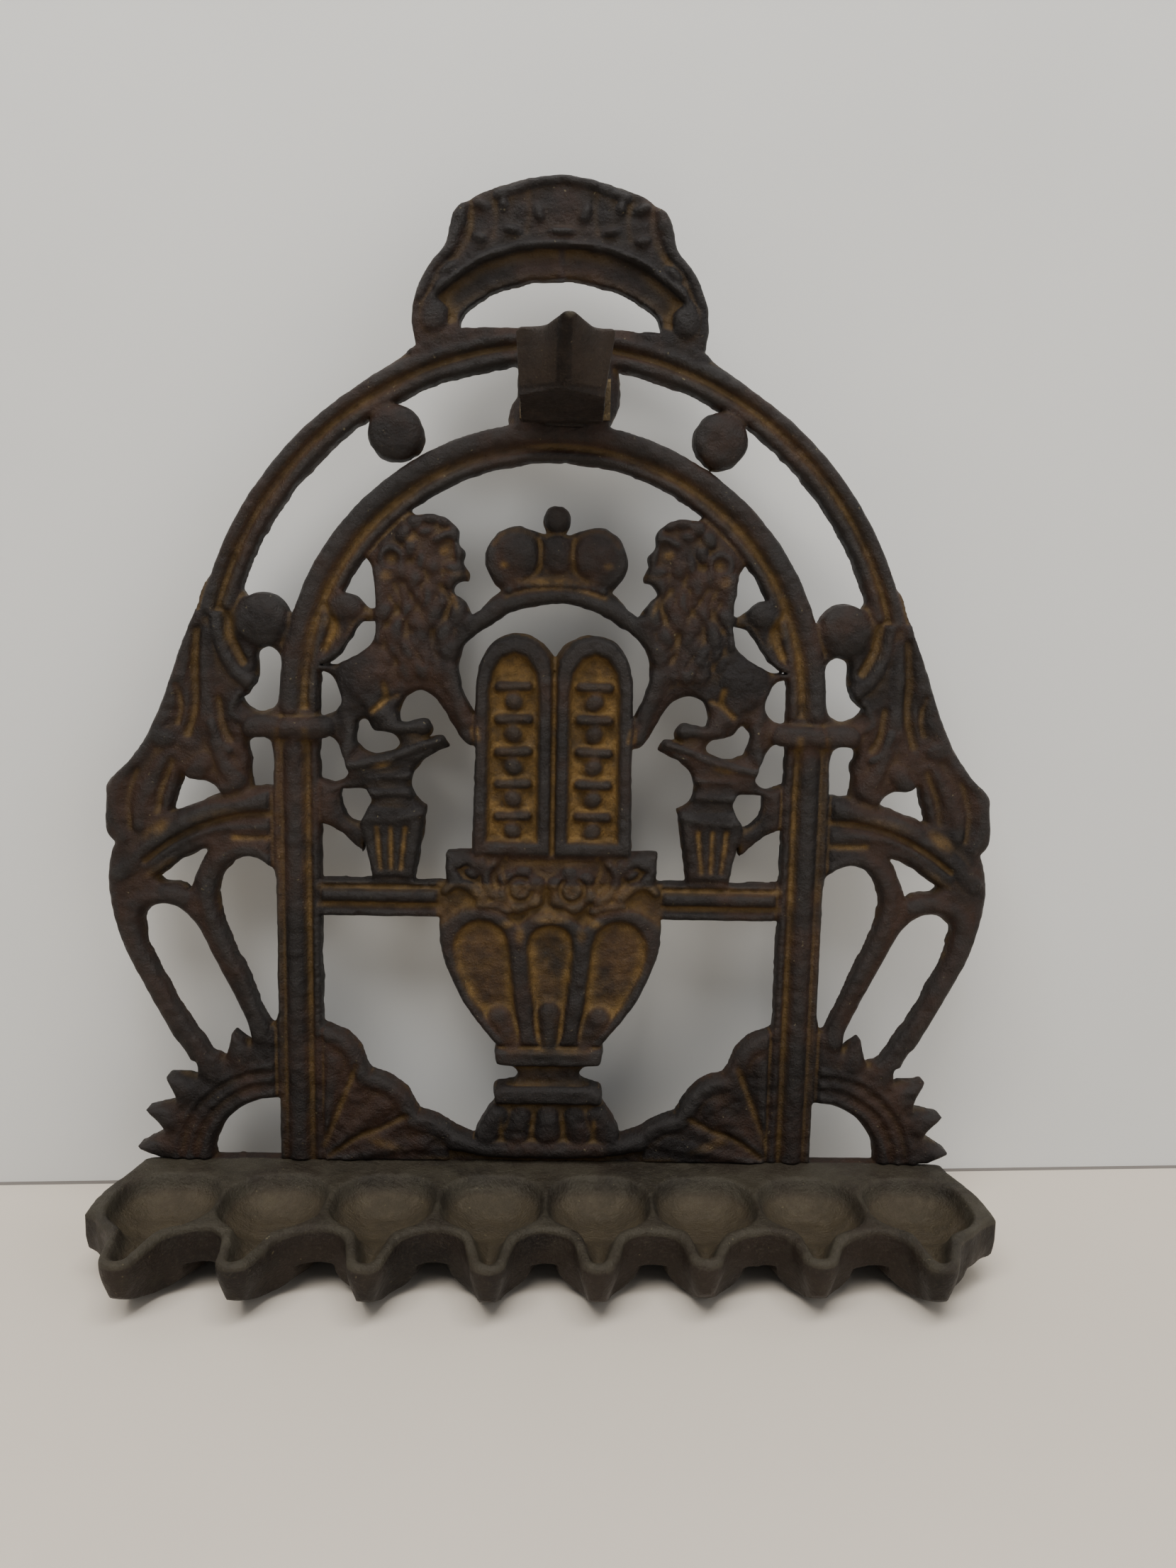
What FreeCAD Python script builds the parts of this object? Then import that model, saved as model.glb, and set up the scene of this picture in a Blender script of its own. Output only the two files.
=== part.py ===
"""Bench-type Hanukkah lamp: a cast openwork backplate, a cast row of eight oil wells screwed to
its foot, and a servant lamp that hangs by a hook in a riveted strap and lifts off.

Frame: X to the right, Y to the back, Z up, millimetres. The origin lies on the floor plane under
the middle of the lamp. The backplate is drawn in its own plane: u is X, and v is the height above
the foot line of the urn, which lies foot_line above the floor.
"""

import FreeCAD, Part
import math
import os

from FreeCAD import Placement, Rotation, Vector

# ---------------------------------------------------------------------------------------------
# Driving dimensions
# ---------------------------------------------------------------------------------------------

DIMENSIONS = {
    # backplate
    "foot_line": 27.5,
    "back_level": 26.35,
    "web_thickness": 4.0,
    "moulding_thickness": 6.5,
    "figure_thickness": 7.0,
    "high_thickness": 8.0,
    "arch_centre": 119.0,
    "outer_arch_outside": 94.7,
    "outer_arch_inside": 86.1,
    "inner_arch_outside": 72.0,
    "inner_arch_inside": 61.7,
    "pillar_outside": 74.0,
    "pillar_inside": 61.7,
    "upper_ball_radius": 7.3,
    "lower_ball_radius": 7.2,
    "upper_ball_u": 41.5,
    "upper_ball_v": 187.0,
    "lower_ball_u": 76.0,
    "lower_ball_v": 139.5,
    "capital_inside": 59.5,
    "capital_outside": 79.0,
    "capital_foot": 108.5,
    "capital_top": 114.5,
    "crossbar_inside": 24.0,
    "crossbar_outside": 63.0,
    "crossbar_foot": 60.5,
    "crossbar_top": 71.0,
    "pillar_top": 115.0,
    "plinth_top": -2.0,
    "skirt_half_width": 104.0,
    "tablet_field_thickness": 5.0,
    "urn_petal_thickness": 4.5,
    # sunbursts at the two lower corners
    "sun_centre_u": 75.0,
    "sun_centre_v": -8.5,
    "sun_opening_radius": 17.0,
    "sun_valley_radius": 32.0,
    "sun_tip_radius": 38.3,
    # row of oil wells
    "row_height": 19.0,
    "row_skin_height": 9.5,
    "row_half_width": 114.5,
    "row_front": 36.0,
    "row_spout_tip": 48.4,
    "well_pitch": 27.8,
    "well_centre": 20.3,
    "well_radius": 12.2,
    "well_depth": 12.5,
    "bowl_radius": 13.7,
    "bowl_foot_radius": 6.0,
    "spout_mouth_radius": 1.5,
    "spout_channel_depth": 4.5,
    # servant lamp, its strap and its rivets
    "servant_offset": 1.5,
    "servant_rim": 206.0,
    "servant_height": 16.0,
    "servant_half_width": 11.0,
    "servant_back": 6.0,
    "servant_spout_tip": 46.0,
    "hook_width": 10.0,
    "hook_thickness": 2.0,
    "hook_drop": 12.0,
    "hook_gap": 0.3,
    "strap_thickness": 1.6,
    "strap_height": 10.0,
    "strap_centre": 196.0,
    "hook_bridge_height": 4.9,
    "strap_foot_length": 4.5,
    "rivet_radius": 1.0,
    "rivet_head_radius": 1.8,
    "rivet_head_height": 0.9,
    # row screws
    "screw_radius": 2.0,
    "screw_head_radius": 4.0,
    "screw_head_height": 2.2,
    "screw_length": 17.0,
    "screw_height": 13.5,
    "screw_clearance": 0.05,
    "screw_slot_width": 1.0,
    "screw_slot_depth": 1.1,
}

# ---------------------------------------------------------------------------------------------
# Backplate outlines. Each point is (u, v), or (u, v, "c") at a corner. Points between two
# corners lie on one smooth curve. Halves are for the right side and are mirrored.
# ---------------------------------------------------------------------------------------------

CREST_SIDE = [
    (0, 249.8), (5, 249.3), (10, 248.4), (15, 246.9), (20, 245.2), (24, 243.0), (26.8, 240.6),
    (28.2, 236.5), (29.4, 232.4), (33, 228), (36, 222.5), (37.6, 217), (37.5, 213),
    (36.6, 208.6, "c"), (40, 206.3), (45, 203.0),
]
FLARED_SIDE = [
    (90, 150), (92.8, 143), (95.3, 137), (98, 130.5), (100.5, 124), (102.6, 118.5),
    (105.3, 112.5), (108.5, 106.5), (112, 101.5), (116, 98), (118, 95.8), (118.2, 93, "c"),
    (118.9, 87), (118.6, 82.5), (116.7, 79.8, "c"), (118.2, 75), (118.8, 69), (118, 62),
    (115.8, 54), (112, 45), (108, 37), (104, 29), (100, 22.5), (98.2, 18.8, "c"),
]
CREST_OPENING = [
    (0, 225.2), (6, 224.9), (12, 223.6), (18, 221.2), (22, 218.8), (24.6, 215.8), (25, 213.2, "c"),
    (12, 213.6), (0, 213.9),
]
INNER_FLUTE = [
    (74.2, 71.5), (76, 74.6), (79.5, 76.1), (83, 75.9), (86.5, 73.5), (88.8, 69.5), (89.4, 65),
    (88.3, 59.5), (86, 53), (82.6, 45.5), (80, 39), (77.5, 32.7), (75.6, 30), (74.4, 32),
    (74, 42), (73.8, 54), (73.9, 65),
]
OUTER_FLUTE = [
    (109.4, 57.5), (109, 60.4), (106, 62.6), (102.5, 62.8), (98.8, 61), (96, 58), (93.5, 53.5),
    (90.5, 47), (87, 40), (84, 33.5), (82, 28), (82.6, 22), (90, 20.5), (95, 26.3), (98, 31),
    (101.5, 37), (105, 44), (108.3, 51),
]
SHOULDER_GAP = [
    (92, 78.3, "c"), (96, 76.8), (100.8, 73.8), (105.3, 70.6, "c"), (104, 69.7), (100.5, 69.2),
    (97, 67.3, "c"), (96, 70), (94.3, 74.3),
]
LEAF_GAP = [
    (97.8, 98.2, "c"), (95, 96.7), (92, 96.5), (89.4, 95), (88.3, 93.4, "c"), (92, 92),
    (96.5, 90.4), (100.7, 88.8, "c"), (99.5, 93),
]
LOWER_LEAF_GAP = [
    (80.6, 107.2), (78.5, 108.6), (75.8, 108.5), (74.3, 105.5), (74.1, 100), (74.3, 95.8, "c"),
    (79.6, 95.5, "c"), (80, 100), (79.9, 104),
]
UPPER_LEAF_GAP = [
    (74.7, 132.2), (72.6, 131), (71.7, 127), (72.4, 121), (73.4, 117.2), (76, 115.7),
    (79.5, 116.5), (81.7, 119, "c"), (79.5, 121), (78, 124), (77.8, 128), (77, 131.2),
]
LION = [
    (41, 171, "c"), (36.5, 167.2, "c"), (33, 167.4), (29.5, 166.8), (26.8, 165), (25.2, 162.8),
    (25.2, 159.6), (23.6, 157.6), (24, 155.2), (22.7, 152.8), (22.9, 150.2, "c"), (26, 149.2),
    (26.6, 147.8), (24.6, 146), (22.6, 143.6), (21.2, 140), (21.6, 136.4), (23.9, 133),
    (25, 128.5), (24.4, 123), (22.4, 118.4), (20.6, 115.2, "c"), (20.6, 107, "c"),
    (22.6, 107.2), (25, 109.6), (27.6, 114), (30.8, 119), (35, 121.4), (38.4, 120.4),
    (40.6, 117), (40.6, 113.6, "c"), (37, 113.8), (33.8, 114.1), (32.2, 112), (33, 109.4, "c"),
    (37.5, 105, "c"), (46, 101.5, "c"), (54, 99.0, "c"), (55.3, 103), (57.2, 107),
    (59, 109, "c"), (62.6, 109, "c"), (62.6, 115.3, "c"), (57.6, 116.2), (56, 119),
    (56.8, 122.6), (59, 125.3), (62.8, 126.2, "c"), (62.8, 128.5, "c"), (57, 128.4),
    (52.5, 130.7), (48.4, 133.6), (46.9, 136.8), (46.7, 141), (46.7, 146), (47.3, 150),
    (48.2, 153.8, "c"), (51, 158, "c"),
]
LION_LEG_GAP = [
    (51.4, 113), (50, 113.8), (48.2, 111.4), (45, 110.3), (42, 109.5), (41, 107.6),
    (43, 105.9), (46, 105.1), (49, 105.4), (51.2, 106.8), (52.1, 109.8),
]
LION_TAIL = [
    (63, 128, "c"), (57.4, 129.9), (53.4, 135), (50.6, 139.2, "c"), (46.2, 139.8, "c"),
    (46.2, 143.2, "c"), (49.8, 143.8), (51.6, 145.9), (54.2, 147), (57.5, 146.6, "c"),
    (62, 140, "c"),
]
PEDESTAL = [
    (27.7, 107, "c"), (31, 105.2), (35, 102.6), (37.4, 98.8), (37.4, 95), (35.4, 92.4),
    (33.4, 91, "c"), (34.2, 85), (36.6, 70, "c"), (48, 70, "c"), (49.2, 77), (51.2, 86.8, "c"),
    (49.3, 90.3), (48.6, 93), (49.6, 95.2, "c"), (62.5, 95.2, "c"), (62.5, 98.8, "c"),
    (54.4, 99.6), (52.5, 102.5), (48, 104.4), (43, 105.3), (38, 107.2), (33, 109.4),
    (29.3, 110, "c"),
]
SCROLL_BRACKET = [
    (62.5, 86, "c"), (58, 84.6), (54, 81.6), (50.2, 78, "c"), (49.6, 87, "c"), (53, 86.9),
    (55.3, 89.4), (55.7, 95.6, "c"), (62.5, 95.6, "c"),
]
CROWN = [
    (0, 170.2), (2.6, 169.3), (3.7, 167), (3.3, 164.4), (2.7, 162.9, "c"), (6, 163.6),
    (10, 164.7), (14, 163.8), (17.2, 160.8), (18.8, 156.6), (18.2, 152.6), (16.4, 150),
    (14.7, 148.2, "c"), (17, 146), (20, 142.9), (23.6, 141.5, "c"), (23.4, 134.6, "c"),
    (18, 138.4), (13, 141.6), (7, 143.9), (0, 144.8),
]
TABLETS = [
    (0, 131.3, "c"), (3, 134.8), (7, 136.8), (10.8, 137.1), (15, 135.8), (18.2, 132.8),
    (20.1, 128.5), (20.9, 123, "c"), (21.5, 78, "c"), (0, 78, "c"),
]
TABLET_FIELD = [
    (3.6, 124), (4.6, 128), (7.2, 131.2), (10.6, 132.3), (14, 131.2), (16.6, 128),
    (17.4, 124, "c"), (17.8, 81.8, "c"), (3.6, 81.8, "c"),
]
LINTEL = [(0, 79.3, "c"), (28.6, 79.3, "c"), (28.6, 69.5, "c"), (0, 69.5, "c")]
URN = [
    (0, 71, "c"), (26, 71, "c"), (30.4, 63, "c"), (30.4, 57.5), (29.8, 51.5), (27.6, 45),
    (24, 37.5), (19.5, 31.2), (14.8, 25.6, "c"), (15, 22.6), (14.2, 20.2), (10.6, 18.9),
    (8.6, 17), (9.2, 15), (12.6, 13.9), (15, 12.6), (15, 9.2), (16.8, 6), (19.4, 2),
    (20.5, -2, "c"), (0, -2, "c"),
]
URN_MIDDLE_PETAL = [(0, 60.4), (3.6, 59.2), (5.6, 55), (5.4, 47), (4.2, 38), (3.2, 27.4, "c"),
                    (0, 27.4, "c")]
URN_SIDE_PETAL = [
    (10.2, 54), (12.4, 58.4), (17, 60.6), (22, 59.4), (25.6, 54.5), (25.2, 48), (21.5, 39.5),
    (16, 31.4), (10.6, 27), (6.8, 27.6), (8.2, 38), (9.6, 47),
]
FAN = [
    (63, 31, "c"), (60, 29.8), (57, 28.6), (53.4, 26), (51, 22), (49.6, 18.6), (48.6, 16.9, "c"),
    (45, 16), (41, 13.4), (38, 10), (36.2, 6.4), (35.4, 5.2, "c"), (31.5, 4.2), (28, 2.4),
    (25, 0.2, "c"), (18, -2, "c"), (63, -2, "c"),
]
SERVANT_LUG = [
    (-10.6, 208, "c"), (-10.8, 196.6, "c"), (-12.4, 195, "c"), (-12.6, 189.5), (-9, 186.5, "c"),
    (10, 186.5, "c"), (13.2, 190), (13.4, 208, "c"),
]
LEAF_RELIEF = [
    (84, 143), (88, 141), (91.5, 133), (95, 124), (98, 115), (103, 107), (109.5, 100.5),
    (114.6, 95), (115.8, 87), (113, 83.8), (108, 86.5), (104, 92), (101.5, 98.5), (97, 102.5),
    (92, 99.6), (86, 96.4), (82.8, 101), (83, 110), (84.4, 117), (82.8, 124), (81.4, 131),
]

SUN_TOOTH_STEP = 17.0  # degrees between two teeth
SUN_FIRST_TOOTH = 5.0  # degrees above the row
SUN_TEETH = 5
OUTER_ARCH_START = 14.0  # degrees above the springing line at which the outer arch begins
INNER_ARCH_START = -4.0
PANEL_OVERLAP = 1.0  # how far a casting's neighbouring fields run into each other
SPOUT_LIP = 3.2  # from a spout's tip back to the middle of its channel's round end
WELL_STEP = 1.5  # the ledge between a well's mouth and its deeper bowl
BOWL_OVERLAP = 1.0  # how far a bowl runs up into the rim above it
HOOK_ROOT = 0.5  # how far the hook's bridge runs into the pan
PAN_WALL = 5.0  # height of the servant lamp's upright wall
SHOULDER_SETBACK = 4.0  # how far the row's ends stop short of its valleys
SPOUT_LEANS = [-3.4, -3.6, -0.7, 0.6, -0.9, -2.5, -2.7, -1.3]  # each spout's lean, left to right
ROW_SCREW_WEBS = [-2, 0, 2]  # webs between wells that take a screw, counted from the middle


# ---------------------------------------------------------------------------------------------
# Sheet, sketches and features
# ---------------------------------------------------------------------------------------------

doc = FreeCAD.newDocument("hanukkah_lamp")
sheet = doc.addObject("Spreadsheet::Sheet", "Sizes")


def fill_sheet():
    for row, (name, value) in enumerate(DIMENSIONS.items(), start=1):
        sheet.set(f"A{row}", name)
        sheet.set(f"B{row}", str(value))
        sheet.setAlias(f"B{row}", name)
    doc.recompute()


def size(name):
    return float(sheet.get(name))


def mirrored(points):
    """The same outline on the left side, in reverse order so that it runs the same way round."""
    return [(-p[0], *p[1:]) for p in reversed(points)]


def both_halves(half):
    """A closed symmetric outline from its right half, which starts and ends on the centre line."""
    left = [p for p in mirrored(half) if p[0] != 0]
    return half + left


def curve(points):
    places = [Vector(p[0], p[1], 0) for p in points]
    if len(places) == 2:
        return Part.LineSegment(places[0], places[1])
    spline = Part.BSplineCurve()
    spline.interpolate(Points=places)
    return spline


def outline(points):
    """Sketch geometry of a closed outline: smooth curves that meet at the corners."""
    corners = [i for i, p in enumerate(points) if len(p) == 3]
    if not corners:
        spline = Part.BSplineCurve()
        spline.interpolate(Points=[Vector(p[0], p[1], 0) for p in points], PeriodicFlag=True)
        return [spline]
    turned = points[corners[0]:] + points[:corners[0]] + [points[corners[0]]]
    runs, run = [], [turned[0]]
    for p in turned[1:]:
        run.append(p)
        if len(p) == 3:
            runs.append(run)
            run = [p]
    return [curve(r) for r in runs]


def arc(centre_u, centre_v, radius, start, end):
    circle = Part.Circle(Vector(centre_u, centre_v, 0), Vector(0, 0, 1), radius)
    return Part.ArcOfCircle(circle, math.radians(start), math.radians(end))


def origin_plane(body, role):
    return next(o for o in body.Origin.OriginFeatures if o.Role == role)


def plate_sketch(body, name, wires):
    """A sketch in the backplate's back plane: its X is u, its Y is v, and it faces the front."""
    sketch = body.newObject("Sketcher::SketchObject", name)
    sketch.AttachmentSupport = (origin_plane(body, "XZ_Plane"), [""])
    sketch.MapMode = "FlatFace"
    sketch.setExpression("AttachmentOffset.Base.y", "Sizes.foot_line")
    sketch.setExpression("AttachmentOffset.Base.z", "-Sizes.back_level")
    for wire in wires:
        sketch.addGeometry(wire, False)
    return sketch


def flat_sketch(body, name, wires, height="0"):
    """A sketch parallel to the floor at a height, looking down on the row."""
    sketch = body.newObject("Sketcher::SketchObject", name)
    sketch.AttachmentSupport = (origin_plane(body, "XY_Plane"), [""])
    sketch.MapMode = "FlatFace"
    sketch.setExpression("AttachmentOffset.Base.z", height)
    for wire in wires:
        sketch.addGeometry(wire, False)
    return sketch


def pad(body, sketch, length, name, reverse=False):
    feature = body.newObject("PartDesign::Pad", name)
    feature.Profile = sketch
    feature.setExpression("Length", length)
    feature.Reversed = reverse
    sketch.Visibility = False
    body.Tip = feature
    doc.recompute()
    return feature


def pocket_through(body, sketch, name):
    feature = body.newObject("PartDesign::Pocket", name)
    feature.Profile = sketch
    feature.Type = 1
    feature.Midplane = True
    body.Tip = feature
    doc.recompute()
    return feature


def pocket_from_front(body, sketch, level, name):
    """Cuts away everything in front of a level that is given as a thickness over the back."""
    sketch.setExpression("AttachmentOffset.Base.z", f"-Sizes.back_level + {level}")
    feature = body.newObject("PartDesign::Pocket", name)
    feature.Profile = sketch
    feature.Type = 0
    feature.setExpression("Length", "Sizes.high_thickness")
    feature.Reversed = True
    body.Tip = feature
    doc.recompute()
    return feature


def ring_sector(centre_v, outside, inside, start, end):
    """The closed outline of a band between two circles about (0, centre_v)."""
    def place(radius, angle):
        turn = math.radians(angle)
        return Vector(radius * math.cos(turn), centre_v + radius * math.sin(turn), 0)

    return [
        arc(0, centre_v, outside, start, end),
        Part.LineSegment(place(outside, end), place(inside, end)),
        arc(0, centre_v, inside, start, end),
        Part.LineSegment(place(inside, start), place(outside, start)),
    ]


def rectangle(left, low, right, high):
    return outline([(left, low, "c"), (right, low, "c"), (right, high, "c"), (left, high, "c")])


def circle(centre_u, centre_v, radius):
    return [Part.Circle(Vector(centre_u, centre_v, 0), Vector(0, 0, 1), radius)]


def on_both_sides(points):
    return [outline(points), outline(mirrored(points))]


def teardrop(centre, radius, tip, tip_radius):
    """The outline round a large and a small circle: a well that runs out into its spout."""
    run = math.hypot(tip[0] - centre[0], tip[1] - centre[1])
    heading = math.degrees(math.atan2(tip[1] - centre[1], tip[0] - centre[0]))
    spread = math.degrees(math.acos((radius - tip_radius) / run))
    big = arc(*centre, radius, heading + spread, heading - spread + 360)
    small = arc(*tip, tip_radius, heading - spread, heading + spread)
    return [
        big,
        Part.LineSegment(big.EndPoint, small.StartPoint),
        small,
        Part.LineSegment(small.EndPoint, big.StartPoint),
    ]


# ---------------------------------------------------------------------------------------------
# Backplate
# ---------------------------------------------------------------------------------------------

def side_panel():
    """The leafy wing beside a pillar, from the arch down to the sunburst."""
    inner_edge = [
        (70, 18.8, "c"), (70, 112, "c"), (71.0, 128.0), (68.2, 141.6, "c"), (73.5, 141.6),
        (80.2, 145.8, "c"),
    ]
    return FLARED_SIDE + inner_edge


def sunburst(side):
    """A quarter ring about a lower corner, its rim cut into teeth."""
    centre_u, centre_v = size("sun_centre_u"), size("sun_centre_v")
    opening, valley, tip = (size(f"sun_{part}_radius") for part in ("opening", "valley", "tip"))

    def polar(radius, angle):
        turn = math.radians(angle)
        return (centre_u + radius * math.cos(turn), centre_v + radius * math.sin(turn), "c")

    rim = [polar(valley, 0)]
    for tooth in range(SUN_TEETH):
        middle = SUN_FIRST_TOOTH + tooth * SUN_TOOTH_STEP
        rim += [polar(tip, middle), polar(valley, middle + SUN_TOOTH_STEP / 2)]
    inner = size("pillar_outside") - PANEL_OVERLAP
    jamb = [(inner, centre_v + valley, "c"), (inner, centre_v + opening, "c")]
    crown = [polar(opening, angle)[:2] for angle in (67.5, 45, 22.5)]
    points = rim + jamb + [polar(opening, 90)] + crown + [polar(opening, 0)]
    return outline(points if side > 0 else mirrored(points))


def twin_blocks(inside, low, outside, high):
    """A rectangle on the right side and its mirror image."""
    return [rectangle(inside, low, outside, high), rectangle(-outside, low, -inside, high)]


def twin_circles(name):
    place, level, radius = (size(f"{name}_{part}") for part in ("u", "v", "radius"))
    return [circle(place, level, radius), circle(-place, level, radius)]


def arch_band(name, start):
    radii = size(f"{name}_outside"), size(f"{name}_inside")
    return ring_sector(size("arch_centre"), *radii, start, 180 - start)


def named_blocks(name):
    return twin_blocks(*(size(f"{name}_{edge}") for edge in ("inside", "foot", "outside", "top")))


def build_backplate():
    body = doc.addObject("PartDesign::Body", "backplate")
    web, moulding = "Sizes.web_thickness", "Sizes.moulding_thickness"
    figure, high = "Sizes.figure_thickness", "Sizes.high_thickness"
    row_top = size("row_height") - size("foot_line")
    pillar_in, pillar_out = size("pillar_inside"), size("pillar_outside")
    plinth_half = pillar_in + PANEL_OVERLAP

    panels = on_both_sides(side_panel())
    for gap in (INNER_FLUTE, OUTER_FLUTE, SHOULDER_GAP, LEAF_GAP, LOWER_LEAF_GAP, UPPER_LEAF_GAP):
        panels += on_both_sides(gap)
    crest = both_halves(CREST_SIDE + [(0, 208, "c")])
    lions = on_both_sides(LION) + on_both_sides(LION_LEG_GAP)
    layers = [
        ("side_panels", panels, web),
        ("crest", [outline(crest), outline(both_halves(CREST_OPENING))], moulding),
        ("outer_arch", [arch_band("outer_arch", OUTER_ARCH_START)], moulding),
        ("inner_arch", [arch_band("inner_arch", INNER_ARCH_START)], moulding),
        ("leaf_relief", on_both_sides(LEAF_RELIEF), moulding),
        ("upper_balls", twin_circles("upper_ball"), high),
        ("lower_balls", twin_circles("lower_ball"), high),
        ("pillars", twin_blocks(pillar_in, row_top, pillar_out, size("pillar_top")), moulding),
        ("capitals", named_blocks("capital"), high),
        ("crossbars", named_blocks("crossbar"), moulding),
        ("lion_tails", on_both_sides(LION_TAIL), moulding),
        ("lions", lions, figure),
        ("pedestals", on_both_sides(PEDESTAL), moulding),
        ("scroll_brackets", on_both_sides(SCROLL_BRACKET), web),
        ("crown", [outline(both_halves(CROWN))], figure),
        ("tablets", [outline(both_halves(TABLETS))], figure),
        ("lintel", [outline(both_halves(LINTEL))], high),
        ("urn", [outline(both_halves(URN))], figure),
        ("fans", on_both_sides(FAN), web),
        ("plinth", [rectangle(-plinth_half, row_top, plinth_half, size("plinth_top"))], moulding),
        ("servant_lug", [outline(SERVANT_LUG)], moulding),
        ("sunbursts", [sunburst(-1), sunburst(1)], moulding),
    ]
    for name, wires, thickness in layers:
        pad(body, plate_sketch(body, f"{name}_outline", wires), thickness, name)

    half_skirt = size("skirt_half_width")
    skirt = plate_sketch(body, "skirt_outline",
                         [rectangle(-half_skirt, -size("foot_line"), half_skirt, row_top)])
    pad(body, skirt, web, "skirt")

    fields = plate_sketch(body, "tablet_fields_outline", on_both_sides(TABLET_FIELD))
    pocket_from_front(body, fields, "Sizes.tablet_field_thickness", "tablet_fields")
    petals = on_both_sides(URN_SIDE_PETAL) + [outline(both_halves(URN_MIDDLE_PETAL))]
    pocket_from_front(body, plate_sketch(body, "urn_petals_outline", petals),
                      "Sizes.urn_petal_thickness", "urn_petals")

    screw_hole = size("screw_radius") + size("screw_clearance")
    screw_v = size("screw_height") - size("foot_line")
    holes = [circle(x, screw_v, screw_hole) for x in screw_places()]
    holes += [circle(x, rivet_v(), size("rivet_radius")) for x in rivet_places()]
    pocket_through(body, plate_sketch(body, "fastener_holes_outline", holes), "fastener_holes")
    return body


# ---------------------------------------------------------------------------------------------
# Row of oil wells
# ---------------------------------------------------------------------------------------------

def front_level(distance):
    """Y of a plane that lies a distance in front of the backplate's mouldings."""
    return size("back_level") - size("moulding_thickness") - distance


def screw_places():
    return [web * size("well_pitch") for web in ROW_SCREW_WEBS]


def well_places():
    return [(i - (len(SPOUT_LEANS) - 1) / 2) * size("well_pitch") for i in range(len(SPOUT_LEANS))]


def row_outline():
    """The rim seen from above: a straight back and ends, and a wavy front with a nose a well."""
    half, back = size("row_half_width"), size("back_level") - size("web_thickness")
    valley, tip_reach = size("row_front"), size("row_spout_tip")
    pitch = size("well_pitch")
    points = [(-half, back, "c"), (-half, front_level(valley - SHOULDER_SETBACK), "c")]
    for x, lean in zip(well_places(), SPOUT_LEANS):
        tip = x + lean
        points += [
            (x - 9.8, front_level(valley + 1.2)),
            (x + lean * 0.5 - 6.6, front_level(valley + 4.2)),
            (tip - 3.8, front_level(tip_reach - 3.4)),
            (tip - 2.0, front_level(tip_reach - 0.7)),
            (tip, front_level(tip_reach)),
            (tip + 2.0, front_level(tip_reach - 0.7)),
            (tip + 3.8, front_level(tip_reach - 3.4)),
            (x + lean * 0.5 + 6.6, front_level(valley + 4.2)),
            (x + 9.8, front_level(valley + 1.2)),
            (x + pitch / 2, front_level(valley), "c"),
        ]
    points[-1] = (half, front_level(valley - SHOULDER_SETBACK), "c")
    points.append((half, back, "c"))
    return outline(points)


def build_row():
    body = doc.addObject("PartDesign::Body", "oil_pan_row")
    rim = flat_sketch(body, "rim_outline", [row_outline()], "Sizes.row_height")
    pad(body, rim, "Sizes.row_skin_height", "rim", reverse=True)

    well_y = front_level(size("well_centre"))
    brim_height = f"Sizes.row_height - Sizes.row_skin_height + {BOWL_OVERLAP}"
    for number, x in enumerate(well_places(), start=1):
        low = circle(x, well_y, size("bowl_foot_radius"))
        high = circle(x, well_y, size("bowl_radius"))
        foot = flat_sketch(body, f"bowl_foot_{number}", [low])
        brim = flat_sketch(body, f"bowl_brim_{number}", [high], brim_height)
        loft = body.newObject("PartDesign::AdditiveLoft", f"bowl_{number}")
        loft.Profile = foot
        loft.Sections = [brim]
        body.Tip = loft
    doc.recompute()

    channels, wells = [], []
    mouth_radius = size("spout_mouth_radius")
    for x, lean in zip(well_places(), SPOUT_LEANS):
        tip = (x + lean, front_level(size("row_spout_tip")) + SPOUT_LIP)
        channels.append(teardrop((x, well_y), size("well_radius"), tip, mouth_radius))
        wells.append(circle(x, well_y, size("well_radius") - WELL_STEP))
    pocket_down(body, flat_sketch(body, "channels_outline", channels, "Sizes.row_height"),
                "Sizes.spout_channel_depth", "channels")
    pocket_down(body, flat_sketch(body, "wells_outline", wells, "Sizes.row_height"),
                "Sizes.well_depth", "wells")

    holes = plate_sketch(body, "screw_holes_outline",
                         [circle(x, size("screw_height") - size("foot_line"),
                                 size("screw_radius") + size("screw_clearance"))
                          for x in screw_places()])
    bore = body.newObject("PartDesign::Pocket", "screw_holes")
    bore.Profile = holes
    bore.Type = 0
    bore.Reversed = True
    bore.setExpression("Length", "Sizes.screw_length + 1")
    body.Tip = bore
    doc.recompute()
    return body


def pocket_down(body, sketch, depth, name):
    feature = body.newObject("PartDesign::Pocket", name)
    feature.Profile = sketch
    feature.Type = 0
    feature.setExpression("Length", depth)
    sketch.Visibility = False
    body.Tip = feature
    doc.recompute()
    return feature


# ---------------------------------------------------------------------------------------------
# Servant lamp, its strap and the fasteners
# ---------------------------------------------------------------------------------------------

def rivet_v():
    return size("strap_centre")


def rivet_places():
    inner = size("hook_width") / 2 + size("hook_gap")
    reach = inner + size("strap_thickness") + size("strap_foot_length") / 2
    return [size("servant_offset") - reach, size("servant_offset") + reach]


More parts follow.
